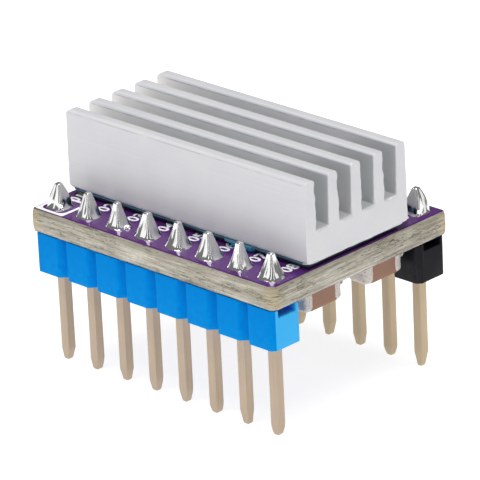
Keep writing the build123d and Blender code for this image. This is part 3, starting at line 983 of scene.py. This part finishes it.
def make_board_tracks(settings):
    """Copper under the mask: fan-out from the chip to both rows, and the small plated via rings."""
    board = settings.board
    chip_low, chip_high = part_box("driver_chip")
    middle_x = (chip_low.x + chip_high.x) / 2
    copper, vias = bmesh.new(), bmesh.new()
    under = board_low.z - board.track_height
    for row, number, pin in pin_places():
        side = 1 if pin.y > 0 else -1
        width, first_turn, sooner = TRACKS[row]
        order = number - (len(PIN_NUMBERS) + 1) / 2
        run_y = side * (first_turn - sooner * (abs(order) - 0.5))
        land_x = middle_x + order * LAND_PITCH
        start, end = (pin.x, side * TRACK_START), (land_x, side * (chip_high.y - TRACK_CORNER))
        path = chamfered([start, (pin.x, run_y), (land_x, run_y), end], TRACK_CORNER)
        raised(copper, ribbon_outline(path, width), under, board_low.z)
    show(copper, "copper_tracks_underside", [finishes["tracks"]], "circuit_board", stands_for=False)
    for x, y in VIAS:
        flat_ring(vias, x * MM, y * MM, VIA_BORE, VIA_RADIUS, under, board_low.z)
    inner = board.test_hole
    flat_ring(vias, *TEST_HOLE, inner, inner + TEST_RING, under, board_low.z)
    show(vias, "plated_vias", [finishes["tin"]], "circuit_board", stands_for=False)


def show_number(name, words, height, thickness, align, place, turned, finish, node):
    """Print a plain number as a thin raised piece. Turned is its rotation, from lying flat and face up."""
    text = bpy.data.curves.new(name, "FONT")
    text.body = words
    text.size = height / DIGIT_SHARE
    text.align_x = align
    text.align_y = "CENTER"
    text.extrude = thickness / 2
    text.offset = 0.03 * MM
    text.resolution_u = 4
    outline = bpy.data.objects.new(f"{name}_outline", text)
    mesh = bpy.data.meshes.new_from_object(outline)
    mesh.transform(Matrix.Translation(place) @ turned)
    bpy.data.objects.remove(outline)
    skin = bmesh.new()
    skin.from_mesh(mesh)
    bpy.data.meshes.remove(mesh)
    show(skin, name, [finish], node, stands_for=False)


MARK_SHIFT = Vector((0.14, 0.06, 0.0)) * MM  # from the first pin to the middle of its square


def make_legend(settings):
    """Printed marks: a rounded square round the first pin, and a plain number beside each pin."""
    board = settings.board
    ink_low, ink_high = board_high.z - 0.002 * MM, board_high.z + board.legend_thickness
    upright = Matrix.Rotation(math.pi / 2, 4, "Z")
    for row, number, pin in pin_places():
        first_row = row == "logic"
        count = number if first_row else number + len(PIN_NUMBERS)
        gap = board.legend_gap if first_row else -board.legend_gap
        place = Vector((pin.x, pin.y + gap, (ink_low + ink_high) / 2))
        show_number(
            f"pin_number_{count:02d}", f"{count:02d}", board.legend_height, board.legend_thickness,
            "LEFT" if first_row else "RIGHT", place, upright, finishes["legend"], "circuit_board",
        )
    first_low, first_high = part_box("logic_pin_1")
    x, y, _ = (first_low + first_high) / 2 + MARK_SHIFT
    reach, line = board.mark_reach, board.mark_line
    skin = bmesh.new()
    outer = rectangle(x - reach, x + reach, y - reach, y + reach, 0.12 * MM)
    within = reach - line
    inner = rectangle(x - within, x + within, y - within, y + within, 0.45 * MM)
    for z in (ink_low, ink_high):
        bridge(skin, [add_loop(skin, level(outer, z)), add_loop(skin, level(inner, z))])
    skin.verts.ensure_lookup_table()
    count = len(outer)
    for start in (0, count):
        lower = skin.verts[start:start + count]
        upper = skin.verts[2 * count + start:3 * count + start]
        bridge(skin, [lower, upper])
    show(skin, "first_pin_mark", [finishes["legend"]], "circuit_board", stands_for=False)


# ---------------------------------------------------------------- headers and pins


def notch_depth(along, depth):
    """How far a header's side is cut in, at a distance from the nearest joint of two cells.

    The notch is a right angle, with its bottom blunt and its two mouths softly rounded.
    """
    soft, blunt = 0.05 * MM, 0.03 * MM
    along = math.hypot(along, blunt)
    if along <= depth - soft:
        return depth - along
    if along < depth + soft:
        return (depth + soft - along) ** 2 / (4 * soft)
    return 0.0


CELL_STEPS = (0.0, 0.03, 0.12, 0.24, 0.33, 0.38, 0.41, 0.44, 0.48, 0.6, 0.9)  # millimetres
END_EDGE = 0.85  # share of the moulded edge that the ends are rounded by, so that no corner folds over


def make_header_plastics(settings):
    """Each strip is lofted along X, its sides running in and out at the notches."""
    header = settings.header
    for row in ROWS:
        low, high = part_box(f"{row}_header")
        low.x += header.end_cut
        high.x -= header.end_cut
        middle, half = (low.y + high.y) / 2, (high.y - low.y) / 2
        first = low.x - header.end_cut
        cell = (high.x + header.end_cut - first) / len(PIN_NUMBERS)
        groove, floor = header.groove_width / 2, high.z - header.groove_depth
        near = [step * MM for step in CELL_STEPS]
        places = near + [cell - step for step in reversed(near[1:])]
        stations = [first + index * cell + place for index in range(len(PIN_NUMBERS)) for place in places]
        stations = [x for x in stations if low.x + header.edge < x < high.x - header.edge]
        ends = [share * header.edge for share in (0.0, 0.15, 0.4, 0.7)]
        stations += [low.x + end for end in ends] + [high.x - end for end in ends]
        skin, rings = bmesh.new(), []
        for x in sorted(stations):
            along = (x - first) % cell
            width = half - notch_depth(min(along, cell - along), header.notch)
            corners = [
                (middle - width, low.z), (middle + width, low.z), (middle + width, high.z),
                (middle + groove, high.z), (middle + groove, floor),
                (middle - groove, floor), (middle - groove, high.z), (middle - width, high.z),
            ]
            outline = rounded_outline(corners, [header.edge] * len(corners), 3)
            depth = END_EDGE * rounding(min(x - low.x, high.x - x), header.edge)
            rings.append(station(inset(outline, [depth] * len(outline)), x))
        loft(skin, rings)
        for face in skin.faces:
            spot = face.calc_center_median()
            inside = abs(spot.y - middle) < groove + header.edge and spot.z > floor - header.edge
            ended = not low.x + header.edge < spot.x < high.x - header.edge
            # The ends and the groove take the lighter finishes, as painted light.
            face.material_index = 1 if ended else 2 if inside else 0
        used = [finishes[f"{row}_plastic"], finishes[f"{row}_cut"], finishes[f"{row}_groove"]]
        show(skin, f"moulded_{row}_header", used, f"{row}_header", sharp=28)


PIN_CORNER, TIP_ROUND = 0.075 * MM, 0.09 * MM
TIP_SHARES = (0.0, 0.02, 0.05, 0.1, 0.18, 0.3, 0.45, 0.6, 0.75, 0.88, 0.96, 1.0, 1.06)  # of the taper


def make_header_pins(settings):
    """Square plated pins: a cropped or a rounded lower tip, each a little different, and a tapered head."""
    header = settings.header
    chance = random.Random(header.seed)
    for row, number, middle in pin_places():
        node = f"{row}_pin_{number}"
        low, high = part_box(node)
        side, tall = high.x - low.x, high.z - low.z
        taper = header.tip_length * chance.uniform(0.75, 1.15)
        bullet = chance.choice((1.0, 1.0, 1.5, 2.2))
        tip_x = header.tip_side * chance.uniform(0.8, 1.05)
        tip_y = header.tip_side * chance.uniform(0.9, 1.3)
        shift = Vector((chance.uniform(-0.04, 0.04), chance.uniform(-0.03, 0.03))) * MM
        skin, rings = bmesh.new(), []
        for share in TIP_SHARES:
            grown = 1 - (1 - min(1.0, share)) ** bullet
            off = rounding(share * taper, TIP_ROUND)
            half_x = (tip_x + (side - tip_x) * grown) / 2 - off
            half_y = (tip_y + (side - tip_y) * grown) / 2 - off
            x, y = middle.x + shift.x * (1 - grown), middle.y + shift.y * (1 - grown)
            corner = min(PIN_CORNER, half_x * 0.4)
            square = rectangle(x - half_x, x + half_x, y - half_y, y + half_y, corner, 3)
            rings.append(level(square, low.z + share * taper))
        for height, width in ((tall - header.head_length, side), (tall, header.head_side)):
            half = width / 2
            square = rectangle(
                middle.x - half, middle.x + half, middle.y - half, middle.y + half, PIN_CORNER, 3
            )
            rings.append(level(square, low.z + height))
        loft(skin, rings)
        show(skin, f"plated_{node}", [finishes[f"{row}_plating"]], node, sharp=25)


def add_splash(skin, x, y, radius, steps=8):
    """A low round drop of solder on the board."""
    rings = []
    for step in range(steps):
        lean = math.pi / 2 * step / steps
        height = board_high.z + radius * 0.9 * math.sin(lean)
        rings.append(level(circle(x, y, radius * math.cos(lean), 24), height))
    loft(skin, rings)


SPLASH_PIN, SPLASH_PLACE, SPLASH_RADIUS = "logic_solder_3", Vector((0.72, 0.06, 0.0)) * MM, 0.24 * MM
SKIRT, TOP_ROUND = 0.05 * MM, 0.06 * MM


def joint_folds(chance):
    """Each fold's direction, depth and sharpness: deep ones at the pin's corners, faint ones between."""
    folds = []
    for quarter in range(4):
        corner = math.pi / 4 + quarter * math.pi / 2 + chance.uniform(-0.12, 0.12)
        folds.append((corner, chance.uniform(0.15, 0.22), chance.uniform(2.4, 3.2)))
        between = corner + math.pi / 4 + chance.uniform(-0.15, 0.15)
        folds.append((between, chance.uniform(0.03, 0.07), chance.uniform(3.4, 4.4)))
    return folds


def fold_swell(turn, share, folds):
    """How much wider a joint is where its folds stand out, at a direction and a share of its height."""
    swell, twist = -0.10, 0.15 * share
    for where, depth, sharp in folds:
        apart = (turn - where - twist + math.pi) % math.tau - math.pi
        swell += depth * math.exp(-((apart * sharp) ** 2))
    return swell


def make_solder_joints(settings):
    """Sixteen joints, each a little different: a round foot drawn up into folds along the pin's corners."""
    solder = settings.solder
    chance = random.Random(solder.seed)
    around, rise = 120, 34
    for row, number, middle in pin_places():
        node = f"{row}_solder_{number}"
        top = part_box(node)[1].z
        foot = solder.foot * chance.uniform(0.92, 1.04)
        tip = solder.tip * chance.uniform(0.92, 1.08)
        hollow = chance.uniform(1.0, 1.4)
        tall = (top - board_high.z) * chance.uniform(0.97, 1.0)
        belly = chance.choice((0.0, 0.0, 0.0, 0.03, 0.13)) * MM
        lean = Vector((chance.uniform(-0.04, 0.04), chance.uniform(-0.04, 0.04))) * MM
        folds = joint_folds(chance)
        drift = Vector((number * 3.1, middle.y / MM, 0.0))
        skin, rings = bmesh.new(), []
        for step in range(rise + 1):
            share = step / rise
            climb = tall * share
            width = tip + (foot - tip) * (1 - share) ** hollow + belly * math.sin(math.pi * share)
            width += SKIRT * math.exp(-share * 22)
            squareness = 2.0 + 2.2 * share
            diagonal = (2 * math.sqrt(0.5) ** squareness) ** (1 / squareness)
            drawn = min(1.0, 0.4 + share * 2.5) * (1 - 0.35 * share)
            ring = []
            for turn_step in range(around):
                turn = math.tau * turn_step / around
                cosine, sine = math.cos(turn), math.sin(turn)
                spread = (abs(cosine) ** squareness + abs(sine) ** squareness) ** (1 / squareness)
                uneven = 0.025 * noise.noise(Vector((cosine, sine, share * 1.6)) * 1.7 + drift)
                reach = width * diagonal / spread
                reach *= 1 + fold_swell(turn, share, folds) * drawn + uneven
                reach -= rounding(tall - climb, TOP_ROUND)
                x = middle.x + lean.x * share + reach * cosine
                y = middle.y + lean.y * share + reach * sine
                ring.append(Vector((x, y, board_high.z + climb)))
            rings.append(ring)
        loft(skin, rings)
        if node == SPLASH_PIN:
            drop = middle + SPLASH_PLACE
            add_splash(skin, drop.x, drop.y, SPLASH_RADIUS)
        show(skin, f"hand_{node}", [finishes["solder"]], node, sharp=50)


# ---------------------------------------------------------------- heatsink and tape


# Each layer of the tape: its share of the thickness, and how far in its edge lies in millimetres.
TAPE_LAYERS = [
    (0.0, 0.10), (0.25, 0.04), (0.55, 0.08), (0.72, 0.06), (0.74, -0.22), (0.80, -0.28), (1.0, -0.29),
]
LIP_SHARE = 0.73
LOBE_PLACE, LOBE_HALF = 4.5 * MM, 1.1 * MM
TAPE_ROUND, LOBE_MOUTH, LOBE_ROUND = 0.3 * MM, 0.1 * MM, 0.12 * MM
TAPE_UNEVEN, ADHESIVE_REACH = 0.05 * MM, 0.4 * MM


def make_thermal_tape(settings):
    """Soft tape with an uneven edge, one pressed-out lobe and a thin lip along the heatsink's foot."""
    low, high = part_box("thermal_tape")
    sink_low, sink_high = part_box("heatsink")
    thick = high.z - low.z
    side = sink_low.y - (high.y - sink_high.y)
    left, right = LOBE_PLACE - LOBE_HALF, LOBE_PLACE + LOBE_HALF
    corners = [
        (low.x, side), (left, side), (LOBE_PLACE - LOBE_HALF * 0.7, low.y),
        (LOBE_PLACE + LOBE_HALF * 0.8, low.y), (right, side), (high.x, side), (high.x, high.y),
        (low.x, high.y),
    ]
    radii = [TAPE_ROUND, LOBE_MOUTH, LOBE_ROUND, LOBE_ROUND, LOBE_MOUTH, TAPE_ROUND, TAPE_ROUND, TAPE_ROUND]
    outline = divided(rounded_outline(corners, radii), 0.2 * MM)
    skin, rings = bmesh.new(), []
    for share, depth in TAPE_LAYERS:
        z = low.z + thick * share
        depths = [depth * MM + TAPE_UNEVEN * noise.noise(spot * 1500.0) for spot in level(outline, z)]
        rings.append(level(inset(outline, depths), z))
    loft(skin, rings)
    for face in skin.faces:
        middle = face.calc_center_median()
        if middle.z > low.z + thick * LIP_SHARE:
            face.material_index = 3 if middle.x > sink_high.x - ADHESIVE_REACH else 2
        # The side of the tape under the heatsink gets the near-black finish, as painted shade; the
        # pressed-out lobe keeps the tape's colour.
        elif middle.y > side - 0.03 * MM:
            face.material_index = 1
    used = [finishes["tape"], finishes["tape_painted_shade"], finishes["tape_lip"], finishes["adhesive"]]
    show(skin, "pressed_thermal_tape", used, "thermal_tape")


def comb_outline(low, high, sink):
    """The extrusion's profile in Y and Z, counter-clockwise from its lower -Y corner."""
    floor = low.z + sink.base
    spacing = (high.y - low.y - sink.fin_root) / (sink.fins - 1)
    corners, radii = [(low.y, low.z), (high.y, low.z)], [sink.foot_round] * 2
    for fin in reversed(range(sink.fins)):
        middle = low.y + sink.fin_root / 2 + spacing * fin
        if fin < sink.fins - 1:
            corners.append((middle + sink.fin_root / 2, floor))
            radii.append(sink.slot_round)
        corners.append((middle + sink.fin_top / 2, high.z))
        corners.append((middle - sink.fin_top / 2, high.z))
        radii += [sink.fin_round, sink.fin_round]
        if fin:
            corners.append((middle - sink.fin_root / 2, floor))
            radii.append(sink.slot_round)
    return rounded_outline(corners, radii, 5)


def sawn_radii(outline, low, high, sink):
    """The radius of the +X end's edge at each point, most uneven along the slots, widest at their floor."""
    radii = []
    reach = (high.y - low.y) / 2 - sink.fin_top * 0.6
    floor = low.z + sink.base
    for spot in station(outline, high.x):
        radius = sink.cut * (1.0 + 0.8 * noise.noise(spot * 1700.0))
        beside_slot = abs(spot.y - (low.y + high.y) / 2) < reach
        if beside_slot and floor - 0.02 * MM < spot.z < high.z - sink.fin_round * 1.3:
            deep = max(0.0, 1 - (spot.z - floor) / (0.5 * MM))
            radius = sink.cut * (1.2 + 2.4 * noise.noise(spot * 2600.0)) + deep * 0.10 * MM
        radii.append(max(0.02 * MM, radius))
    return radii


def clamp_height(ring, low, high, margin):
    """Keep the points of a ring a margin away from the lowest and the highest of the piece."""
    for point in ring:
        point.z = min(max(point.z, low.z + margin), high.z - margin)


EDGE_STEPS = (0.0, 0.008, 0.02, 0.04, 0.07, 0.11, 0.16, 0.22, 0.30, 0.42)  # millimetres from an end
FLAT_RIM = 0.04 * MM


def make_heatsink(settings):
    """The sawn extrusion: slightly uneven deburred edges at its ends, and one tumbled round end.

    Two flat rims inside each end keep the rubbed edges and their painted highlight from bleeding over the
    end's face.
    """
    sink = settings.heatsink
    low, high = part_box("heatsink")
    outline = divided(comb_outline(low, high, sink), 0.16 * MM)
    cut = sawn_radii(outline, low, high, sink)
    tumbled = [sink.cut * (1.3 + 0.6 * noise.noise(spot * 1300.0)) for spot in station(outline, low.x)]
    rings = []
    for rim in (2 * FLAT_RIM, FLAT_RIM):
        ring = station(inset(outline, [radius + rim for radius in tumbled]), low.x)
        clamp_height(ring, low, high, sink.tumbled + rim)
        rings.append(ring)
    for step in EDGE_STEPS:
        place = step * MM
        ring = station(inset(outline, [rounding(place, radius) for radius in tumbled]), low.x + place)
        clamp_height(ring, low, high, rounding(place, sink.tumbled))
        rings.append(ring)
    stretches = 12
    for index in range(1, stretches):
        rings.append(station(outline, low.x + (high.x - low.x) * index / stretches))
    for step in reversed(EDGE_STEPS):
        place = step * MM
        rings.append(station(inset(outline, [rounding(place, radius) for radius in cut]), high.x - place))
    for rim in (FLAT_RIM, 2 * FLAT_RIM):
        rings.append(station(inset(outline, [radius + rim for radius in cut]), high.x))
    skin = bmesh.new()
    loft(skin, rings)
    show(skin, "extruded_heatsink", [finishes["aluminium"]], "heatsink", sharp=40)


# ---------------------------------------------------------------- parts under the board


def solder_ramp(skin, cap_low, cap_high, outward, rise, reach):
    """The hollow ramp of solder between an end cap and its land on the board."""
    face_y, top = cap_high.y if outward > 0 else cap_low.y, cap_high.z
    buried_y = face_y - outward * 0.05 * MM
    margin, steps = 0.04 * MM, 6
    rings = []
    for share in (0.0, 0.08, 0.3, 0.5, 0.7, 0.92, 1.0):
        x = cap_low.x - margin + (cap_high.x - cap_low.x + 2 * margin) * share
        height = rise * (1 - 0.35 * abs(2 * share - 1) ** 3)
        ring = [Vector((x, buried_y, top))]
        for step in range(steps + 1):
            along = step / steps
            ring.append(Vector((x, face_y + outward * reach * (1 - along), top - height * along**2)))
        ring.append(Vector((x, buried_y, top - height)))
        rings.append(ring)
    loft(skin, rings)


def make_chip_part(node, finish, edge, sizes):
    """A ceramic body and its two end caps with their solder."""
    low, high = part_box(node)
    caps = f"{node}_end_caps"
    caps_low, caps_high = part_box(caps)
    wrap = sizes.large_wrap if caps_high.y - caps_low.y > 2 * MM else sizes.small_wrap
    skin = bmesh.new()
    buried = Vector((0.0, wrap * 0.55, 0.0))
    block(skin, low + buried, high - buried, edge, wobble=0.01 * MM)
    show(skin, f"fired_{node}", [finish], node)
    skin = bmesh.new()
    tall = caps_high.z - caps_low.z
    round_over = min(0.28 * MM, tall * 0.19, wrap * 0.46)
    for outward in (-1, 1):
        cap_low, cap_high = caps_low.copy(), caps_high.copy()
        if outward < 0:
            cap_high.y = cap_low.y + wrap
        else:
            cap_low.y = cap_high.y - wrap
        block(skin, cap_low, cap_high, round_over, wobble=0.02 * MM, frequency=4200.0, spacing=0.1 * MM)
        solder_ramp(skin, cap_low, cap_high, outward, tall * 0.55, min(0.35 * MM, tall * 0.5))
    show(skin, f"plated_{caps}", [finishes["end_cap"]], caps, sharp=50)


def make_driver_chip(settings):
    """The moulded package with its dot, over its tinned lands."""
    parts = settings.components
    low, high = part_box("driver_chip")
    skin = bmesh.new()
    outline = divided(rectangle(low.x, high.x, low.y, high.y, 0.06 * MM, 3), 0.5 * MM)
    dot = circle(low.x + parts.dot_place, high.y - parts.dot_place, parts.chip_dot)
    plate(skin, outline, high.z, low.z, 0.05 * MM, [(dot, 0.04 * MM)])
    show(skin, "moulded_driver_chip", [finishes["epoxy"]], "driver_chip")
    refinish("driver_chip_lands", finishes["tin"])


def arc(middle, radius, start, sweep, places):
    """Points on an arc, at the given shares of its sweep."""
    turns = [start + sweep * share for share in places]
    return [middle + Vector((math.cos(turn), math.sin(turn))) * radius for turn in turns]


def make_trimmer_base(trimmer, middle):
    """The ceramic base, its round recess narrower at the stop."""
    low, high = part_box("trimmer_base")
    free = math.tau - 2 * trimmer.stop_angle
    shares = [step / 55 for step in range(56)]
    recess = arc(middle, trimmer.recess, trimmer.stop_angle - math.pi / 2, free, shares)
    shares = [step / 13 for step in range(1, 13)]
    stop_start = -trimmer.stop_angle - math.pi / 2
    recess += arc(middle, trimmer.stop_recess, stop_start, 2 * trimmer.stop_angle, shares)
    skin = bmesh.new()
    outline = divided(rectangle(low.x, high.x, low.y, high.y, 0.15 * MM, 4), 0.3 * MM)
    plate(skin, outline, high.z, low.z, 0.06 * MM, [(recess, trimmer.recess_depth)])
    show(skin, "fired_trimmer_base", [finishes["trimmer"]], "trimmer_base")


def make_trimmer_rotor(trimmer, middle):
    """The stamped rotor with the cross for a screwdriver and its square tab."""
    low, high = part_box("trimmer_rotor")
    shoulder = math.asin(trimmer.tab / trimmer.rotor)
    shares = [step / 47 for step in range(48)]
    rim = arc(middle, trimmer.rotor, math.pi / 2 + shoulder, math.tau - 2 * shoulder, shares)
    rim += [Vector((middle.x + side * trimmer.tab, high.y)) for side in (1, -1)]
    arm, half = trimmer.slot_reach, trimmer.slot_half
    cross = []
    for quarter in range(4):
        spin = Matrix.Rotation(math.pi / 2 * quarter, 2)
        cross += [middle + spin @ Vector(spot) for spot in ((arm, -half), (arm, half), (half, half))]
    skin = bmesh.new()
    plate(skin, rim, low.z + trimmer.rotor_thickness, low.z, 0.05 * MM, [(cross, trimmer.slot_depth)])
    show(skin, "slotted_trimmer_rotor", [finishes["rotor"]], "trimmer_rotor")


def make_trimmer_terminals(trimmer):
    """Two folded terminals on the -X side and one on the +X side."""
    low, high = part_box("trimmer_terminals")
    skin, reach, apart = bmesh.new(), trimmer.terminal, trimmer.outer_terminals
    for left, places in ((low.x, (-apart, apart)), (high.x - reach, (0.0,))):
        for place in places:
            corner_low = Vector((left, place - reach, low.z))
            corner_high = Vector((left + reach, place + reach, high.z))
            block(skin, corner_low, corner_high, 0.06 * MM, wobble=0.012 * MM)
    show(skin, "folded_trimmer_terminals", [finishes["tin"]], "trimmer_terminals")


def make_trimmer(settings):
    """The open trimmer: ceramic base, slotted rotor, three folded terminals, wiper and track."""
    low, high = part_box("trimmer_base")
    middle = Vector(((low.x + high.x) / 2, 0.0))
    make_trimmer_base(settings.trimmer, middle)
    make_trimmer_rotor(settings.trimmer, middle)
    make_trimmer_terminals(settings.trimmer)
    refinish("trimmer_wiper", finishes["brass"])
    refinish("trimmer_track", finishes["film"])


# ---------------------------------------------------------------- stage


LIGHT_MIDDLE = Vector((0.0, 0.0, 8.0)) * MM
CAMERA_TARGET = Vector((-0.056, 0.152, 8.0)) * MM
# Each light's name, azimuth and elevation in degrees, distance and sizes in metres, and power in watts.
LIGHTS = [
    ("left_box", -30.0, 14.0, 0.45, (0.17, 0.24), 0.12),
    ("near_left_strip", 14.0, 16.0, 0.45, (0.05, 0.24), 0.10),
    ("near_right_strip", 76.0, 16.0, 0.45, (0.05, 0.24), 0.075),
    ("right_box", 118.0, 14.0, 0.45, (0.17, 0.24), 0.10),
    ("top_light", 12.0, 82.5, 0.5, (0.45, 0.45), 2.7),
]


def direction(azimuth, elevation):
    """The way to a place seen at an azimuth, from -Y towards +X, and an elevation."""
    level_reach = math.cos(elevation)
    return Vector((math.sin(azimuth) * level_reach, -math.cos(azimuth) * level_reach, math.sin(elevation)))


def add_light(name, azimuth, elevation, distance, size, power):
    """A rectangular area light aimed at the module."""
    light = bpy.data.lights.new(name, "AREA")
    light.shape = "RECTANGLE"
    light.size, light.size_y = size
    light.energy = power
    lamp = bpy.data.objects.new(name, light)
    bpy.context.scene.collection.objects.link(lamp)
    back = direction(math.radians(azimuth), math.radians(elevation))
    lamp.location = LIGHT_MIDDLE + back * distance
    lamp.rotation_mode = "QUATERNION"
    lamp.rotation_quaternion = back.to_track_quat("Z", "Y")


def make_floor(stage):
    """A pale floor that the light comes through, and even light from all round."""
    reach = 1.5
    skin = bmesh.new()
    corners = [(-reach, -reach, 0.0), (reach, -reach, 0.0), (reach, reach, 0.0), (-reach, reach, 0.0)]
    skin.faces.new([skin.verts.new(corner) for corner in corners])
    mesh = bpy.data.meshes.new("studio_floor")
    skin.to_mesh(mesh)
    skin.free()
    floor = bpy.data.objects.new("studio_floor", mesh)
    bpy.context.scene.collection.objects.link(floor)
    finish, _, shader = new_finish("Studio floor", specular_ior_level=0.1, roughness=0.8)
    shader.inputs["Base Color"].default_value = stage.floor_color
    shader.inputs["Emission Color"].default_value = stage.glow_color
    shader.inputs["Emission Strength"].default_value = stage.floor_glow
    mesh.materials.append(finish)

    world = bpy.data.worlds.new("Studio")
    world.use_nodes = True
    sky = world.node_tree.nodes["Background"]
    sky.inputs["Color"].default_value = (1.0, 1.0, 1.0, 1.0)
    sky.inputs["Strength"].default_value = stage.sky_glow
    bpy.context.scene.world = world


def make_camera(stage):
    """The camera, looking down over the corner between the logic row and the sawn end."""
    back = direction(stage.azimuth, stage.elevation)
    level_right = (-back).cross(Vector((0.0, 0.0, 1.0))).normalized()
    level_up = level_right.cross(-back)
    right = level_right * math.cos(stage.roll) + level_up * math.sin(stage.roll)
    up = -level_right * math.sin(stage.roll) + level_up * math.cos(stage.roll)
    lens = bpy.data.cameras.new("Camera")
    lens.lens = stage.lens
    lens.sensor_width = 36.0
    lens.clip_start = 0.01
    lens.clip_end = 10.0
    camera = bpy.data.objects.new("Camera", lens)
    bpy.context.scene.collection.objects.link(camera)
    turned = Matrix((right, up, back)).transposed().to_4x4()
    camera.matrix_world = Matrix.Translation(CAMERA_TARGET + back * stage.distance) @ turned
    bpy.context.scene.camera = camera


def make_stage(settings):
    """Pale floor, soft lights and the camera."""
    make_floor(settings.stage)
    for light in LIGHTS:
        add_light(*light)
    make_camera(settings.stage)
    bpy.context.scene.view_settings.view_transform = "Standard"


# ---------------------------------------------------------------- operators and panel


def settings_of(context):
    """The module's settings on the scene."""
    return context.scene.driver_module


class DRIVER_OT_finishes(bpy.types.Operator):
    """Build every material of the module"""

    bl_idname = "driver.finishes"
    bl_label = "Finishes"

    def execute(self, context):
        finishes.update(make_finishes(settings_of(context)))
        return {"FINISHED"}


class DRIVER_OT_circuit_board(bpy.types.Operator):
    """Build the circuit board, its tracks and its legend"""

    bl_idname = "driver.circuit_board"
    bl_label = "Circuit board"

    def execute(self, context):
        settings = settings_of(context)
        make_circuit_board(settings)
        make_board_tracks(settings)
        make_legend(settings)
        return {"FINISHED"}


class DRIVER_OT_header_plastics(bpy.types.Operator):
    """Build the two moulded header strips"""

    bl_idname = "driver.header_plastics"
    bl_label = "Header plastics"

    def execute(self, context):
        make_header_plastics(settings_of(context))
        return {"FINISHED"}


class DRIVER_OT_header_pins(bpy.types.Operator):
    """Build the sixteen plated pins"""

    bl_idname = "driver.header_pins"
    bl_label = "Header pins"

    def execute(self, context):
        make_header_pins(settings_of(context))
        return {"FINISHED"}


class DRIVER_OT_solder_joints(bpy.types.Operator):
    """Build the sixteen solder joints"""

    bl_idname = "driver.solder_joints"
    bl_label = "Solder joints"

    def execute(self, context):
        make_solder_joints(settings_of(context))
        return {"FINISHED"}


class DRIVER_OT_thermal_tape(bpy.types.Operator):
    """Build the tape under the heatsink"""

    bl_idname = "driver.thermal_tape"
    bl_label = "Thermal tape"

    def execute(self, context):
        make_thermal_tape(settings_of(context))
        return {"FINISHED"}


class DRIVER_OT_heatsink(bpy.types.Operator):
    """Build the extruded heatsink"""

    bl_idname = "driver.heatsink"
    bl_label = "Heatsink"

    def execute(self, context):
        make_heatsink(settings_of(context))
        return {"FINISHED"}


class DRIVER_OT_capacitors(bpy.types.Operator):
    """Build the ceramic capacitors under the board"""

    bl_idname = "driver.capacitors"
    bl_label = "Capacitors"

    def execute(self, context):
        for node in CAPACITORS:
            make_chip_part(node, finishes["capacitor"], 0.07 * MM, settings_of(context).components)
        return {"FINISHED"}


class DRIVER_OT_resistors(bpy.types.Operator):
    """Build the resistors under the board, the larger ones with their value printed on them"""

    bl_idname = "driver.resistors"
    bl_label = "Resistors"

    def execute(self, context):
        settings = settings_of(context)
        thickness = settings.board.legend_thickness
        for node in RESISTORS:
            make_chip_part(node, finishes["glaze"], 0.04 * MM, settings.components)
        face_down = Matrix.Rotation(math.pi, 4, "X") @ Matrix.Rotation(-math.pi / 2, 4, "Z")
        for node in RESISTORS[:2]:
            low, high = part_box(node)
            place = (low + high) / 2
            place.z = low.z + thickness / 2
            show_number(
                f"value_of_{node}", VALUE_MARK, settings.board.value_height, thickness, "CENTER",
                place, face_down, finishes["legend"], node,
            )
        return {"FINISHED"}


class DRIVER_OT_driver_chip(bpy.types.Operator):
    """Build the driver chip"""

    bl_idname = "driver.driver_chip"
    bl_label = "Driver chip"

    def execute(self, context):
        make_driver_chip(settings_of(context))
        return {"FINISHED"}


class DRIVER_OT_trimmer(bpy.types.Operator):
    """Build the current-limit trimmer"""

    bl_idname = "driver.trimmer"
    bl_label = "Trimmer"

    def execute(self, context):
        make_trimmer(settings_of(context))
        return {"FINISHED"}


class DRIVER_OT_stage(bpy.types.Operator):
    """Build the floor, the lights and the camera"""

    bl_idname = "driver.stage"
    bl_label = "Stage"

    def execute(self, context):
        make_stage(settings_of(context))
        return {"FINISHED"}


OPERATORS = (
    DRIVER_OT_finishes,
    DRIVER_OT_circuit_board,
    DRIVER_OT_header_plastics,
    DRIVER_OT_header_pins,
    DRIVER_OT_solder_joints,
    DRIVER_OT_thermal_tape,
    DRIVER_OT_heatsink,
    DRIVER_OT_capacitors,
    DRIVER_OT_resistors,
    DRIVER_OT_driver_chip,
    DRIVER_OT_trimmer,
    DRIVER_OT_stage,
)


class DRIVER_PT_module(bpy.types.Panel):
    """Buttons that build the module, in order"""

    bl_idname = "DRIVER_PT_module"
    bl_label = "Driver Module"
    bl_space_type = "VIEW_3D"
    bl_region_type = "UI"
    bl_category = "Driver Module"

    def draw(self, context):
        column = self.layout.column(align=True)
        for operator in OPERATORS:
            column.operator(operator.bl_idname)


GROUPS = (
    BoardSettings,
    HeaderSettings,
    SolderSettings,
    HeatsinkSettings,
    ComponentSettings,
    TrimmerSettings,
    StageSettings,
    DriverModuleSettings,
)
CLASSES = (*GROUPS, *OPERATORS, DRIVER_PT_module)


def register():
    """Register the classes and put the settings on the scene."""
    for cls in CLASSES:
        bpy.utils.register_class(cls)
    bpy.types.Scene.driver_module = PointerProperty(type=DriverModuleSettings)


def unregister():
    """Take the settings and the classes away again."""
    del bpy.types.Scene.driver_module
    for cls in reversed(CLASSES):
        bpy.utils.unregister_class(cls)


def main():
    """Build everything in order."""
    register()
    for operator in OPERATORS:
        area, name = operator.bl_idname.split(".")
        getattr(getattr(bpy.ops, area), name)()


if __name__ == "__main__":
    main()
